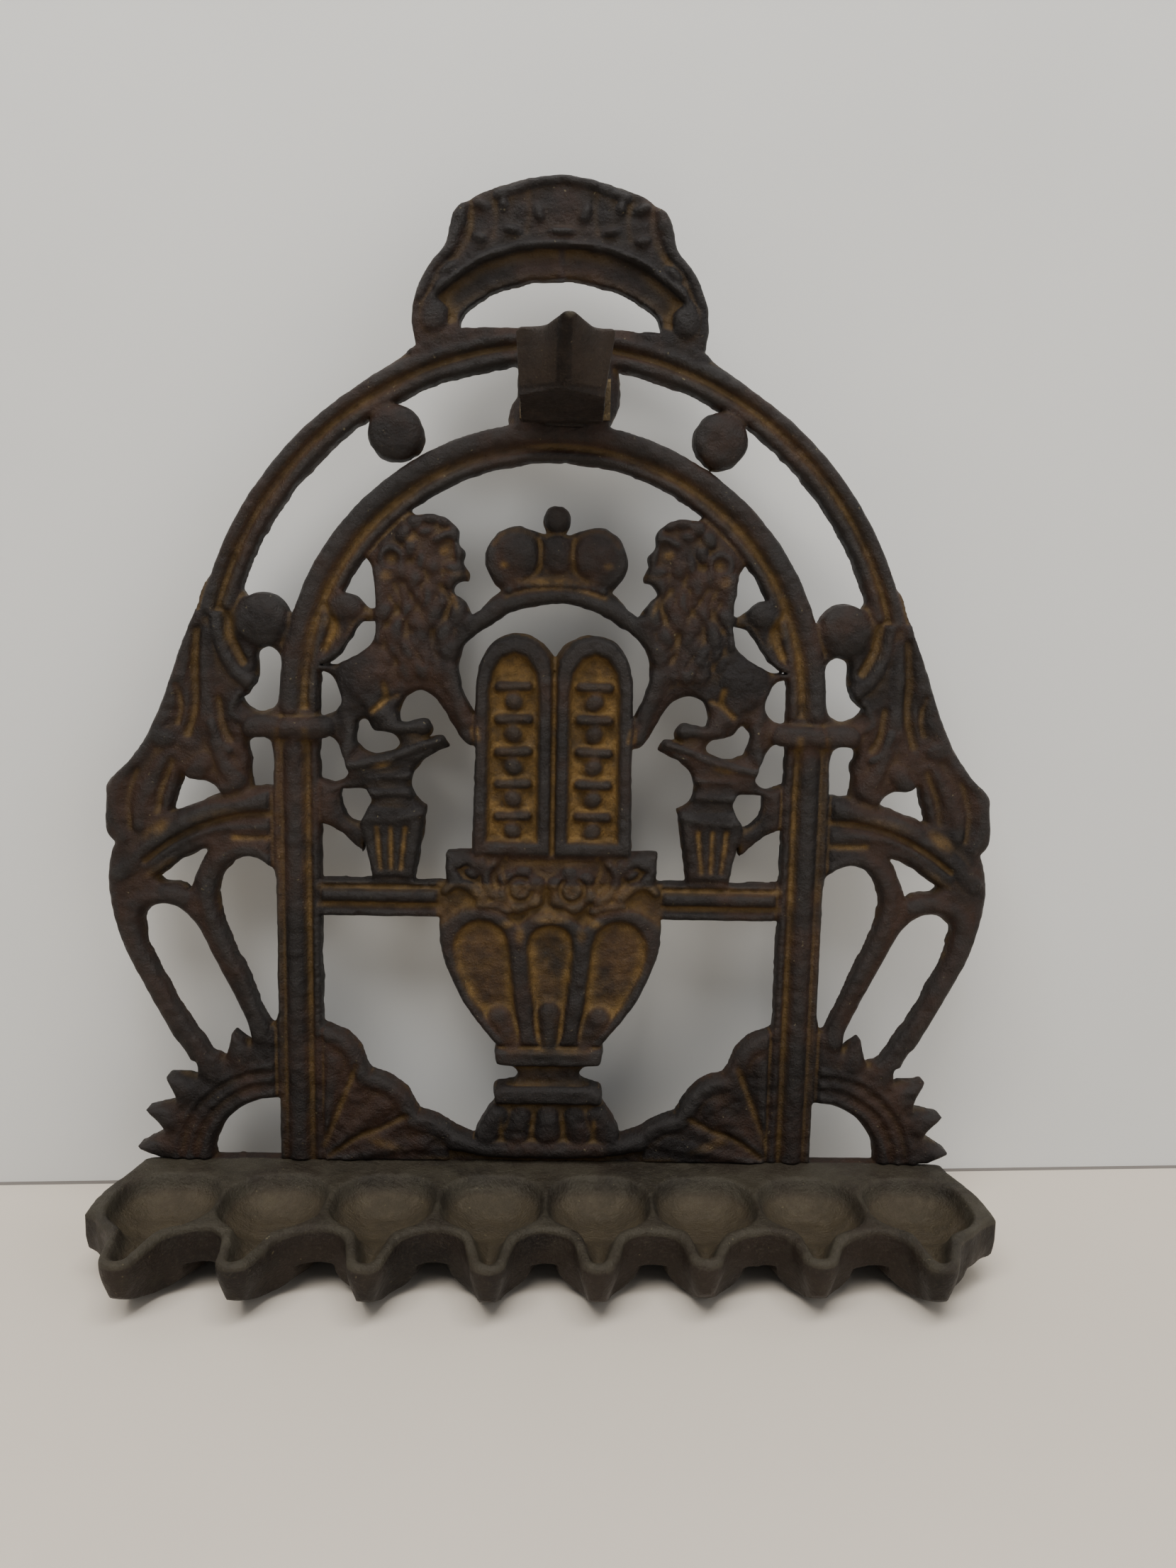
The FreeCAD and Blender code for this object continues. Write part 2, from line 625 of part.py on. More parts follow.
def build_servant_lamp():
    body = doc.addObject("PartDesign::Body", "servant_lamp")
    x = size("servant_offset")
    half, back = size("servant_half_width"), front_level(size("servant_back"))
    tip = front_level(size("servant_spout_tip"))
    rim_height = "Sizes.foot_line + Sizes.servant_rim"

    def pan(scale, lift):
        waist = half * scale
        return outline([
            (x - waist * 0.86, back, "c"), (x - waist, back - 7), (x - waist, back - 15),
            (x - waist * 0.8, back - 23), (x - waist * 0.4, back - 32 + lift),
            (x, tip + lift * 1.6), (x + waist * 0.4, back - 32 + lift), (x + waist * 0.8, back - 23),
            (x + waist, back - 15), (x + waist, back - 7), (x + waist * 0.86, back, "c"),
        ])

    rim = flat_sketch(body, "pan_rim", [pan(1.0, 0)], rim_height)
    brim = flat_sketch(body, "pan_side", [pan(1.0, 0)], f"{rim_height} - {PAN_WALL}")
    foot = flat_sketch(body, "pan_foot", [pan(0.45, 9)], f"{rim_height} - Sizes.servant_height")
    pad(body, rim, f"{PAN_WALL}", "pan_wall", reverse=True)
    loft = body.newObject("PartDesign::AdditiveLoft", "pan_bowl")
    loft.Profile = brim
    loft.Sections = [foot]
    body.Tip = loft
    doc.recompute()

    centre = (x, back - half)
    mouth_radius = size("spout_mouth_radius")
    channel = teardrop(centre, half - WELL_STEP, (x, tip + SPOUT_LIP), mouth_radius)
    pocket_down(body, flat_sketch(body, "pan_channel_outline", [channel], rim_height),
                "Sizes.spout_channel_depth", "pan_channel")
    well = circle(*centre, half - 2 * WELL_STEP)
    pocket_down(body, flat_sketch(body, "pan_well_outline", [well], rim_height),
                "Sizes.well_depth - 2", "pan_well")

    hook_half = size("hook_width") / 2
    face = front_level(size("hook_gap"))
    root = back - HOOK_ROOT
    bridge = flat_sketch(body, "hook_bridge_outline",
                         [rectangle(x - hook_half, root, x + hook_half, face)], rim_height)
    pad(body, bridge, "Sizes.hook_bridge_height", "hook_bridge", reverse=True)
    tongue = flat_sketch(body, "hook_tongue_outline",
                         [rectangle(x - hook_half, face - size("hook_thickness"), x + hook_half, face)],
                         rim_height)
    pad(body, tongue, "Sizes.hook_bridge_height + Sizes.hook_drop", "hook_tongue", reverse=True)
    return body


def build_strap():
    body = doc.addObject("PartDesign::Body", "servant_strap")
    x, gap, bar = size("servant_offset"), size("hook_gap"), size("strap_thickness")
    inner = size("hook_width") / 2 + gap
    outer = inner + bar
    end = outer + size("strap_foot_length")
    wall = front_level(0)
    crown = front_level(2 * gap + size("hook_thickness"))
    profile = outline([(x + dx, y, "c") for dx, y in (
        (-end, wall), (-inner, wall), (-inner, crown), (inner, crown), (inner, wall), (end, wall),
        (end, wall - bar), (outer, wall - bar), (outer, crown - bar), (-outer, crown - bar),
        (-outer, wall - bar), (-end, wall - bar))])
    sketch = flat_sketch(body, "strap_profile", [profile],
                         "Sizes.foot_line + Sizes.strap_centre - Sizes.strap_height / 2")
    pad(body, sketch, "Sizes.strap_height", "strap")
    holes = plate_sketch(body, "strap_holes_outline",
                         [circle(place, rivet_v(), size("rivet_radius")) for place in rivet_places()])
    pocket_through(body, holes, "strap_holes")
    return body


def fastener(name, stages, x, height, base):
    """A turned fastener along Y: each stage is (radius, length), given as sheet expressions."""
    parts = []
    for number, (radius, length, start) in enumerate(stages, start=1):
        part = doc.addObject("Part::Cylinder", f"{name}_stage_{number}")
        part.setExpression("Radius", radius)
        part.setExpression("Height", length)
        part.Placement = Placement(Vector(x, 0, 0), Rotation(Vector(1, 0, 0), 90))
        part.setExpression("Placement.Base.y", f"{base} + {start}")
        part.setExpression("Placement.Base.z", height)
        parts.append(part)
    whole = doc.addObject("Part::MultiFuse", name)
    whole.Shapes = parts
    doc.recompute()
    return whole


def build_rivet(name, x):
    front = "Sizes.back_level - Sizes.moulding_thickness - Sizes.strap_thickness"
    stages = [
        ("Sizes.rivet_head_radius", "Sizes.rivet_head_height", "0"),
        ("Sizes.rivet_radius", "Sizes.moulding_thickness + Sizes.strap_thickness",
         "Sizes.moulding_thickness + Sizes.strap_thickness"),
        ("Sizes.rivet_head_radius", "Sizes.rivet_head_height",
         "Sizes.moulding_thickness + Sizes.strap_thickness + Sizes.rivet_head_height"),
    ]
    return fastener(name, stages, x, "Sizes.foot_line + Sizes.strap_centre", front)


def build_screw(name, x):
    stages = [
        ("Sizes.screw_radius", "Sizes.screw_length", "0"),
        ("Sizes.screw_head_radius", "Sizes.screw_head_height", "Sizes.screw_head_height"),
    ]
    blank = fastener(f"{name}_blank", stages, x, "Sizes.screw_height", "Sizes.back_level")
    slot = doc.addObject("Part::Box", f"{name}_slot")
    slot.setExpression("Length", "2 * Sizes.screw_head_radius + 2")
    slot.setExpression("Width", "Sizes.screw_slot_depth")
    slot.setExpression("Height", "Sizes.screw_slot_width")
    slot.Placement.Base.x = x - size("screw_head_radius") - 1
    slot.setExpression("Placement.Base.y",
                       "Sizes.back_level + Sizes.screw_head_height - Sizes.screw_slot_depth")
    slot.setExpression("Placement.Base.z", "Sizes.screw_height - Sizes.screw_slot_width / 2")
    screw = doc.addObject("Part::Cut", name)
    screw.Base = blank
    screw.Tool = slot
    doc.recompute()
    return screw


# ---------------------------------------------------------------------------------------------
# Whole lamp
# ---------------------------------------------------------------------------------------------

def check_features():
    for item in doc.Objects:
        if any(word in item.State for word in ("Invalid", "Error")):
            raise RuntimeError(f"{item.Name} failed: {item.State}")


def write_part(item):
    shape = item.Shape
    if shape.isNull() or not shape.isValid() or len(shape.Solids) != 1:
        raise RuntimeError(f"{item.Label} is not one valid solid: {len(shape.Solids)} solids")
    box = shape.BoundBox
    print(f"{item.Label:20s} {shape.Volume / 1000:8.2f} cm3  x {box.XMin:.1f}..{box.XMax:.1f}"
          f"  y {box.YMin:.1f}..{box.YMax:.1f}  z {box.ZMin:.1f}..{box.ZMax:.1f}")
    shape.exportStep(f"parts/{item.Label}.step")


def main():
    fill_sheet()
    parts = [build_backplate(), build_row(), build_servant_lamp(), build_strap()]
    for side, x in zip(("left", "right"), rivet_places()):
        parts.append(build_rivet(f"strap_rivet_{side}", x))
    for side, x in zip(("left", "middle", "right"), screw_places()):
        parts.append(build_screw(f"row_screw_{side}", x))
    doc.recompute()
    check_features()
    os.makedirs("parts", exist_ok=True)
    for item in parts:
        write_part(item)


main()
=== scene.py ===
"""The looks of a cast brass bench-type Hanukkah lamp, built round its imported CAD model.

The castings (backplate, row of wells, servant lamp) are modelled as solid fields on a fine grid
and turned into closed meshes. Plans are drawn in millimetres: u is X and v is the height above the
foot line of the urn, for the backplate; x and y are the CAD's own X and Y for the pans. Heights on
the backplate are measured from its back plane towards the front.
"""

import math

import bpy
import numpy as np
from mathutils import Matrix, Vector


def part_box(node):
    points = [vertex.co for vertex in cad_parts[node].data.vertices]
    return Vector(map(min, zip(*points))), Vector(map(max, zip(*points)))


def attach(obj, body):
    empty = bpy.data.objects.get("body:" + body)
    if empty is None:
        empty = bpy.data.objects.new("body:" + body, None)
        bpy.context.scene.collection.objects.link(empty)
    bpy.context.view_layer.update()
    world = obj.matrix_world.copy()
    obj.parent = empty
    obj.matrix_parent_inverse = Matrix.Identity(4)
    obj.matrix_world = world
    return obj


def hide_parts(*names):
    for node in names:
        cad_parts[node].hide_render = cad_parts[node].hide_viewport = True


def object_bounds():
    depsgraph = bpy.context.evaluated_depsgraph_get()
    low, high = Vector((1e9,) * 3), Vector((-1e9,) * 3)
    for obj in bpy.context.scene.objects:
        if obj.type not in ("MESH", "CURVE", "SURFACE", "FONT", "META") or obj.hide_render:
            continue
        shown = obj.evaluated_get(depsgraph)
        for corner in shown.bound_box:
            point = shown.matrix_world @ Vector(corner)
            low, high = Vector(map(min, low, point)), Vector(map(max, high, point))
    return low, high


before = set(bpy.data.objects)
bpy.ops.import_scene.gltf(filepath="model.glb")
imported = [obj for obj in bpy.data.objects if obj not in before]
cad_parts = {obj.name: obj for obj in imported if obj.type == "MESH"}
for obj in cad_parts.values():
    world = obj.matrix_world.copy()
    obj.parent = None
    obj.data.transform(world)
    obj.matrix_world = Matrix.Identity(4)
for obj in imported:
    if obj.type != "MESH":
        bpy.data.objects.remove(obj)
cad_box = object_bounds()

MM = 0.001
PLATE_LOW, PLATE_HIGH = (np.array(corner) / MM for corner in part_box("backplate"))
ROW_LOW, ROW_HIGH = (np.array(corner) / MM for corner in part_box("oil_pan_row"))
SERVANT_LOW, SERVANT_HIGH = (np.array(corner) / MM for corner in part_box("servant_lamp"))

BACK_Y = PLATE_HIGH[1]
FOOT_LINE = 27.5
ROW_TOP = ROW_HIGH[2] - FOOT_LINE
PLATE_STEP = 0.5
DEPTH_STEP = 0.75
ROW_STEP = 0.5
SERVANT_STEP = 0.4
SILHOUETTE_REACH = 6.0

WEB, GROOVE, HIGH = 4.0, 4.3, 7.9
ARCH_V = 119.0
SUN = (75.0, -8.5)
WELL_PITCH = 27.8
WELL_Y = BACK_Y - 6.5 - 20.3
SPOUT_LEANS = [-3.4, -3.6, -0.7, 0.6, -0.9, -2.5, -2.7, -1.3]
SPOUT_SHORTFALLS = [0.6, 0.3, 0.0, 0.0, 0.4, 2.6, 2.8, 1.6]


# ---- Plane geometry on a grid ----

def mirrored(points):
    return [(-u, v) for u, v in points]


def smooth(points, closed=False, steps=6):
    """A Catmull-Rom curve through the points."""
    p = np.array(points, float)
    if len(p) < 3:
        return p
    if closed:
        p = np.vstack([p[-1], p, p[0], p[1]])
    else:
        p = np.vstack([2 * p[0] - p[1], p, 2 * p[-1] - p[-2]])
    t = np.linspace(0, 1, steps, endpoint=False)[:, None]
    pieces = []
    for a, b, c, d in zip(p[:-3], p[1:-2], p[2:-1], p[3:]):
        pieces.append(0.5 * (2 * b + (c - a) * t + (2 * a - 5 * b + 4 * c - d) * t ** 2
                             + (3 * b - a - 3 * c + d) * t ** 3))
    curve = np.vstack(pieces)
    return curve if closed else np.vstack([curve, p[-2]])


def distance_to_line(u, v, line):
    """Distance to a polyline, and how far along it the nearest point lies, from 0 to 1."""
    spans = np.diff(line, axis=0)
    lengths = np.hypot(spans[:, 0], spans[:, 1])
    total, passed = lengths.sum(), 0.0
    best = np.full(u.shape, 1e9)
    along = np.zeros(u.shape)
    for start, span, length in zip(line[:-1], spans, lengths):
        if length < 1e-9:
            continue
        du, dv = u - start[0], v - start[1]
        t = np.clip((du * span[0] + dv * span[1]) / length ** 2, 0, 1)
        gap = np.hypot(du - t * span[0], dv - t * span[1])
        nearer = gap < best
        best = np.where(nearer, gap, best)
        along = np.where(nearer, (passed + t * length) / total, along)
        passed += length
    return best, along


def inside_distance(u, v, ring):
    """Distance to a closed outline: positive inside and negative outside."""
    closed = np.vstack([ring, ring[:1]])
    gap, _ = distance_to_line(u, v, closed)
    within = np.zeros(u.shape, bool)
    for (u0, v0), (u1, v1) in zip(closed[:-1], closed[1:]):
        if v0 != v1:
            crosses = (v0 > v) != (v1 > v)
            within ^= crosses & (u < (u1 - u0) * (v - v0) / (v1 - v0) + u0)
    return np.where(within, gap, -gap)


def dome(t):
    """A quarter round: 1 at t = 0, falling to 0 at t = 1."""
    return np.sqrt(np.clip(1 - t ** 2, 0, 1))


def ease(t):
    t = np.clip(t, 0, 1)
    return t * t * (3 - 2 * t)


def soft_max(a, b, width):
    mix = np.clip(0.5 + 0.5 * (a - b) / width, 0, 1)
    return b + (a - b) * mix + width * mix * (1 - mix)


def rumple(shape, step, cell, seed):
    """Smooth random waves about `cell` millimetres long, between -1 and 1, on a 2-D grid."""
    rng = np.random.default_rng(seed)
    sizes = [int(n * step / cell) + 3 for n in shape]
    knots = rng.uniform(-1, 1, sizes)
    places = [np.arange(n) * step / cell for n in shape]
    low = [np.floor(p).astype(int) for p in places]
    mix = [ease(p - q) for p, q in zip(places, low)]
    rows = (knots[low[0], :] * (1 - mix[0])[:, None] + knots[low[0] + 1, :] * mix[0][:, None])
    return rows[:, low[1]] * (1 - mix[1]) + rows[:, low[1] + 1] * mix[1]


def blurred(values, cells, rounds=2):
    """A box blur, run a few times."""
    for _ in range(rounds):
        for axis in (0, 1):
            padded = np.pad(values, [(cells + 1, cells) if a == axis else (0, 0) for a in (0, 1)],
                            mode="edge")
            total = np.cumsum(padded, axis=axis)
            width = 2 * cells + 1
            count = values.shape[axis]
            values = (np.take(total, np.arange(count) + width, axis)
                      - np.take(total, np.arange(count), axis)) / width
    return values


class Relief:
    """A height map over a plan, with brushes that raise, press and cut it."""

    def __init__(self, low, high, step, level):
        self.step = step
        self.low = np.array(low, float)
        counts = [int(math.ceil((b - a) / step)) + 1 for a, b in zip(low, high)]
        axes = [a + step * np.arange(n) for a, n in zip(low, counts)]
        self.u, self.v = np.meshgrid(*axes, indexing="ij")
        self.height = np.full(self.u.shape, float(level))
        self.gold = np.zeros(self.u.shape)

    def window(self, points, reach):
        first = np.floor((points.min(axis=0) - reach - self.low) / self.step).astype(int)
        last = np.ceil((points.max(axis=0) + reach - self.low) / self.step).astype(int) + 1
        return tuple(slice(max(a, 0), max(b, 0)) for a, b in zip(first, last))

    def sides(self, points, both):
        return (points, mirrored(points)) if both else (points,)

    def ridge(self, points, radius, top, end_radius=None, base=WEB, both=True, closed=False):
        """A rounded bead along a curve, tapering from one radius to the other."""
        end_radius = radius if end_radius is None else end_radius
        for side in self.sides(points, both):
            line = smooth(side, closed)
            if closed:
                line = np.vstack([line, line[:1]])
            w = self.window(line, max(radius, end_radius))
            gap, along = distance_to_line(self.u[w], self.v[w], line)
            width = radius + (end_radius - radius) * along
            rise = base + (top - base) * dome(gap / width)
            self.height[w] = np.where(gap < width, np.maximum(self.height[w], rise), self.height[w])

    def groove(self, points, radius, depth, gold=0.0, both=True):
        for side in self.sides(points, both):
            line = smooth(side)
            w = self.window(line, radius)
            gap, _ = distance_to_line(self.u[w], self.v[w], line)
            bite = ease(1 - gap / radius)
            self.height[w] -= depth * bite
            self.gold[w] = np.maximum(self.gold[w], gold * bite)

    def ovals(self, centre, radii, turn, both):
        """The window of an oval and of its mirror image, with the distance from the middle to the rim."""
        for side in (1, -1) if both else (1,):
            angle = math.radians(turn) * side
            c, s = math.cos(angle), math.sin(angle)
            u, v = centre[0] * side, centre[1]
            w = self.window(np.array([(u, v)]), max(radii))
            du, dv = self.u[w] - u, self.v[w] - v
            yield w, np.hypot((du * c + dv * s) / radii[0], (dv * c - du * s) / radii[1])

    def areas(self, points, both, curved):
        """The window of an outline and of its mirror image, with the distance inside it."""
        for side in self.sides(points, both):
            ring = smooth(side, True) if curved else np.array(side, float)
            w = self.window(ring, 0.5)
            yield w, inside_distance(self.u[w], self.v[w], ring)

    def mound(self, centre, radii, top, turn=0.0, base=WEB, both=True):
        for w, t in self.ovals(centre, radii, turn, both):
            rise = base + (top - base) * dome(t)
            self.height[w] = np.where(t < 1, np.maximum(self.height[w], rise), self.height[w])

    def plateau(self, points, top, bevel, both=True, curved=True):
        """Raises an area to a level, with a rounded rim."""
        for w, depth in self.areas(points, both, curved):
            rise = top - bevel * (1 - dome(1 - np.clip(depth / bevel, 0, 1)))
            self.height[w] = np.where(depth > 0, np.maximum(self.height[w], rise), self.height[w])

    def sink(self, points, level, wall, gold=1.0, both=True, curved=True):
        """Presses an area down to a level, with sloping walls."""
        for w, depth in self.areas(points, both, curved):
            mix = ease(depth / wall)
            old = self.height[w]
            lowered = old * (1 - mix) + level * mix
            self.height[w] = np.where(depth > 0, np.minimum(old, lowered), old)
            self.gold[w] = np.maximum(self.gold[w], gold * mix)

    def gild(self, centre, radii, amount, turn=0.0, both=True):
        """Leaves a soft oval of bright metal."""
        for w, t in self.ovals(centre, radii, turn, both):
            self.gold[w] = np.maximum(self.gold[w], amount * ease(1.3 - 1.3 * t))


# ---- Solid fields to closed meshes ----

def surface_nets(field, low, steps):
    """Vertices and quads of the surface where a sampled field passes through zero."""
    cells = tuple(n - 1 for n in field.shape)
    total = np.zeros((3,) + cells, np.float32)
    count = np.zeros(cells, np.uint8)
    for axis in range(3):
        others = [a for a in range(3) if a != axis]
        for near in (0, 1):
            for far in (0, 1):
                offset = [0, 0, 0]
                offset[others[0]], offset[others[1]] = near, far
                start = tuple(slice(o, o + n) for o, n in zip(offset, cells))
                offset[axis] = 1
                end = tuple(slice(o, o + n) for o, n in zip(offset, cells))
                a, b = field[start], field[end]
                cross = (a > 0) != (b > 0)
                gap = np.where(cross, a - b, 1)
                total[axis] += np.where(cross, a / gap, 0)
                if near:
                    total[others[0]] += cross
                if far:
                    total[others[1]] += cross
                count += cross
    active = count > 0
    number = np.full(cells, -1, np.int64)
    number[active] = np.arange(active.sum())
    places = np.argwhere(active) + (total[:, active] / count[active]).T
    vertices = np.array(low) + places * np.array(steps)

    quads = []
    inside = field > 0
    for axis in range(3):
        others = [a for a in range(3) if a != axis]
        first = [slice(None)] * 3
        second = [slice(None)] * 3
        first[axis], second[axis] = slice(0, -1), slice(1, None)
        change = inside[tuple(first)] != inside[tuple(second)]
        trim = [slice(None)] * 3
        for other in others:
            trim[other] = slice(1, -1)
        spots = np.argwhere(change[tuple(trim)])
        for other in others:
            spots[:, other] += 1
        filled = inside[tuple(spots.T)]
        corners = []
        for near, far in ((1, 1), (0, 1), (0, 0), (1, 0)):
            cell = spots.copy()
            cell[:, others[0]] -= near
            cell[:, others[1]] -= far
            corners.append(number[tuple(cell.T)])
        ring = np.stack(corners, axis=1)
        turned = filled if axis != 1 else ~filled
        ring[~turned] = ring[~turned][:, ::-1]
        quads.append(ring)
    return vertices, np.vstack(quads)


def make_piece(name, vertices, quads, attributes, material):
    """A smooth-shaded mesh object in metres from millimetre vertices."""
    mesh = bpy.data.meshes.new(name)
    mesh.vertices.add(len(vertices))
    mesh.vertices.foreach_set("co", (vertices * MM).astype(np.float32).ravel())
    mesh.loops.add(quads.size)
    mesh.loops.foreach_set("vertex_index", quads.astype(np.int32).ravel())
    mesh.polygons.add(len(quads))
    mesh.polygons.foreach_set("loop_start", np.arange(0, quads.size, 4, dtype=np.int32))
    mesh.update(calc_edges=True)
    mesh.validate()
    mesh.polygons.foreach_set("use_smooth", np.ones(len(mesh.polygons), bool))
    for label, values in attributes.items():
        layer = mesh.attributes.new(label, "FLOAT", "POINT")
        layer.data.foreach_set("value", values.astype(np.float32))
    mesh.materials.append(material)
    piece = bpy.data.objects.new(name, mesh)
    bpy.context.scene.collection.objects.link(piece)
    return piece


def sampled(values, relief, u, v):
    """Bilinear samples of a map at plan positions."""
    a = np.clip((u - relief.low[0]) / relief.step, 0, values.shape[0] - 1.001)
    b = np.clip((v - relief.low[1]) / relief.step, 0, values.shape[1] - 1.001)
    i, j = a.astype(int), b.astype(int)
    s, t = a - i, b - j
    return ((values[i, j] * (1 - s) + values[i + 1, j] * s) * (1 - t)
            + (values[i, j + 1] * (1 - s) + values[i + 1, j + 1] * s) * t)


def cad_silhouette(node, relief):
    """Distance inside the outline of a node's flat back, read from its mesh."""
    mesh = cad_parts[node].data
    points = np.empty(len(mesh.vertices) * 3)
    mesh.vertices.foreach_get("co", points)
    points = points.reshape(-1, 3) / MM
    back = points[:, 1].max()
    keys = [tuple(k) for k in np.round(points[:, (0, 2)], 3)]
    within = np.zeros(relief.u.shape, bool)
    uses = {}
    for face in mesh.polygons:
        ids = list(face.vertices)
        if any(points[i, 1] < back - 0.01 for i in ids):
            continue
        for a, b in zip(ids, ids[1:] + ids[:1]):
            pair = tuple(sorted((keys[a], keys[b])))
            uses[pair] = uses.get(pair, 0) + 1
    gap = np.full(relief.u.shape, SILHOUETTE_REACH)
    for ((u0, z0), (u1, z1)), times in uses.items():
        if times != 1:
            continue
        a, b = np.array([u0, z0 - FOOT_LINE]), np.array([u1, z1 - FOOT_LINE])
        w = relief.window(np.array([a, b]), SILHOUETTE_REACH)
        near, _ = distance_to_line(relief.u[w], relief.v[w], np.array([a, b]))
        gap[w] = np.minimum(gap[w], near)
        if a[1] != b[1]:
            rows = slice(*np.searchsorted(relief.v[0], sorted((a[1], b[1]))))
            v = relief.v[:, rows]
            within[:, rows] ^= relief.u[:, rows] < (b[0] - a[0]) * (v - a[1]) / (b[1] - a[1]) + a[0]
    return np.where(within, gap, -gap)


# ---- Backplate relief ----

def on_circle(radius, start, end, count=15, centre=(0, ARCH_V)):
    turns = np.radians(np.linspace(start, end, count))
    return [(centre[0] + radius * math.cos(t), centre[1] + radius * math.sin(t)) for t in turns]


def carve_arches(r):
    """The two arches: an outer rib, a gilded hollow and an inner rib on each."""
    distance = np.hypot(r.u, r.v - ARCH_V)
    above = r.v > ARCH_V - 3
    outer = above & (distance > 85.5) & (distance < 95.5) & (r.v > ARCH_V + 22)
    r.height[outer] = GROOVE
    fade = ease(abs(r.u) / 55)
    r.gold[outer] = (0.22 * fade * ease(1 - abs(distance - 90.0) / 2.8))[outer]
    r.ridge(on_circle(92.7, 14, 166, 41), 2.3, 6.5, base=3.6, both=False)
    r.ridge(on_circle(87.8, 16, 164, 41), 2.3, 6.1, base=3.6, both=False)
    inner = above & (distance > 61) & (distance < 72.5)
    r.height[inner] = GROOVE
    r.gold[inner] = (0.42 * fade * ease(1 - abs(distance - 65.3) / 2.6))[inner]
    r.ridge(on_circle(69.2, -2, 182, 41), 3.3, 6.5, base=3.8, both=False)
    r.ridge(on_circle(63.2, -2, 182, 41), 1.7, 5.7, base=3.8, both=False)


def carve_pillars(r):
    """A round main bead, a flat strip outside it and a beaded band on the inner side."""
    low, high = ROW_TOP - 1, 110
    for side in (-1, 1):
        strip = (r.u * side > 61) & (r.u * side < 74.6) & (r.v < high + 2)
        r.height[strip] = 3.9
        line = abs(r.u * side - 64.9)
        thin = 0.5 + 0.5 * ease((r.v - 20) / 60)
        r.gold[strip] = np.maximum(r.gold[strip], (0.5 * thin * ease(1 - line / 1.6))[strip])
        outer = abs(r.u * side - 72.4)
        r.gold[strip] = np.maximum(r.gold[strip], (0.25 * thin * ease(1 - outer / 1.5))[strip])
    r.ridge([(68.3, low), (68.3, high)], 3.4, 6.5, base=3.4)
    r.ridge([(66.2, low), (66.2, high)], 1.1, 5.4, base=3.6)
    r.ridge([(73.0, low), (73.0, high)], 1.5, 5.3, base=3.6)
    r.ridge([(62.8, low), (62.8, high)], 1.6, 5.4, base=3.6)
    for v in np.arange(28, 60, 2.1):
        r.mound((62.6, v), (1.5, 1), 6.0, base=4.5)
    r.plateau([(59.5, 108.3), (79, 108.3), (79, 114.6), (59.5, 114.6)], 6.6, 1.6, curved=False)
    r.ridge([(60.5, 111.4), (78.5, 111.4)], 3.1, 7.9, base=5.2)
    r.groove([(72.3, 109), (71.4, 114.4)], 0.9, 0.8)


def carve_crossbars(r):
    for side in (-1, 1):
        bar = (r.u * side > 28) & (r.u * side < 62.5) & (r.v > 60) & (r.v < 71.6)
        r.height[bar] = 3.9
        for level, amount, reach in ((69.1, 0.4, 1.6), (64.3, 0.45, 1.3)):
            glow = amount * ease(1 - abs(r.v - level) / reach)
            r.gold[bar] = np.maximum(r.gold[bar], glow[bar])
    r.ridge([(28, 66.7), (62, 66.7)], 2.2, 6.4, base=3.6)
    r.ridge([(28, 61.9), (62, 61.9)], 1.8, 5.5, base=3.6)
    r.ridge([(28, 70.6), (62, 70.6)], 1.3, 5.7, base=3.6)


def carve_crest(r):
    crest = (r.v > 206) & (np.hypot(r.u, r.v - ARCH_V) > 93.5) & (abs(r.u) < 38.5)
    r.height[crest] = 5.9
    brow = [(0, 233.4), (10, 232.6), (15, 231.2), (20, 229.3), (25, 226.2), (30, 222.2),
            (33.2, 218.6)]
    slot = [(0, 224), (10, 223), (18, 220), (24, 216), (25.5, 213), (33.5, 213)]
    band = slot + brow[::-1]
    r.sink(band, 4.3, 2.4, gold=0.0)
    r.ridge(brow, 0.9, 6.9, base=5.6)
    r.mound((31.6, 215.4), (3.6, 4.4), 7.4, base=5.2)
    r.ridge([(0, 248.4), (6, 247.6), (12, 245.6), (16, 244.2)], 1.4, 7.0, base=5.4)
    r.ridge([(24.5, 241.6), (26.3, 236.4), (28, 231.2), (32, 227.3), (35.3, 220.2)], 1.9, 7.0, 1.3,
            base=5.6)
    for centre, radii, turn in (
            ((19.8, 241.8), (2.5, 1.3), 25), ((20.3, 234.2), (2.2, 1.3), 10),
            ((28, 226.8), (3.2, 1.2), -38), ((12.2, 236.2), (2.9, 1.1), 12),
            ((0.6, 236.1), (3.2, 0.9), 0), ((14.5, 242), (1.2, 2), 0), ((24.8, 238.2), (1.2, 1.8), 0),
            ((5.8, 240.3), (1.3, 2.6), -15), ((30.2, 222.5), (3.4, 1.1), -52)):
        r.mound(centre, radii, 7.3, turn, base=5.4)
    r.groove([(23.5, 243.4), (22.6, 238), (23.6, 233.5), (27, 229.2)], 1.8, 0.6)
    r.groove([(17, 244.4), (16.4, 239.5), (16.9, 234.5)], 1.2, 0.3)
    r.groove([(8.8, 246.4), (8.2, 241.5), (8.7, 236)], 1.2, 0.25)


def carve_balls(r):
    for centre, radius in (((41.5, ARCH_V + 68), 7.4), ((76, ARCH_V + 20.5), 7.4)):
        r.mound(centre, (radius, radius), HIGH, base=4.6)
    r.mound((54.2, 143.3), (4.9, 4.4), 7.0, base=4.2)
    r.gild((57.8, 138), (2.6, 4.6), 0.6, turn=-25)
    r.gild((84, 137.5), (2.2, 7), 0.4, turn=10)


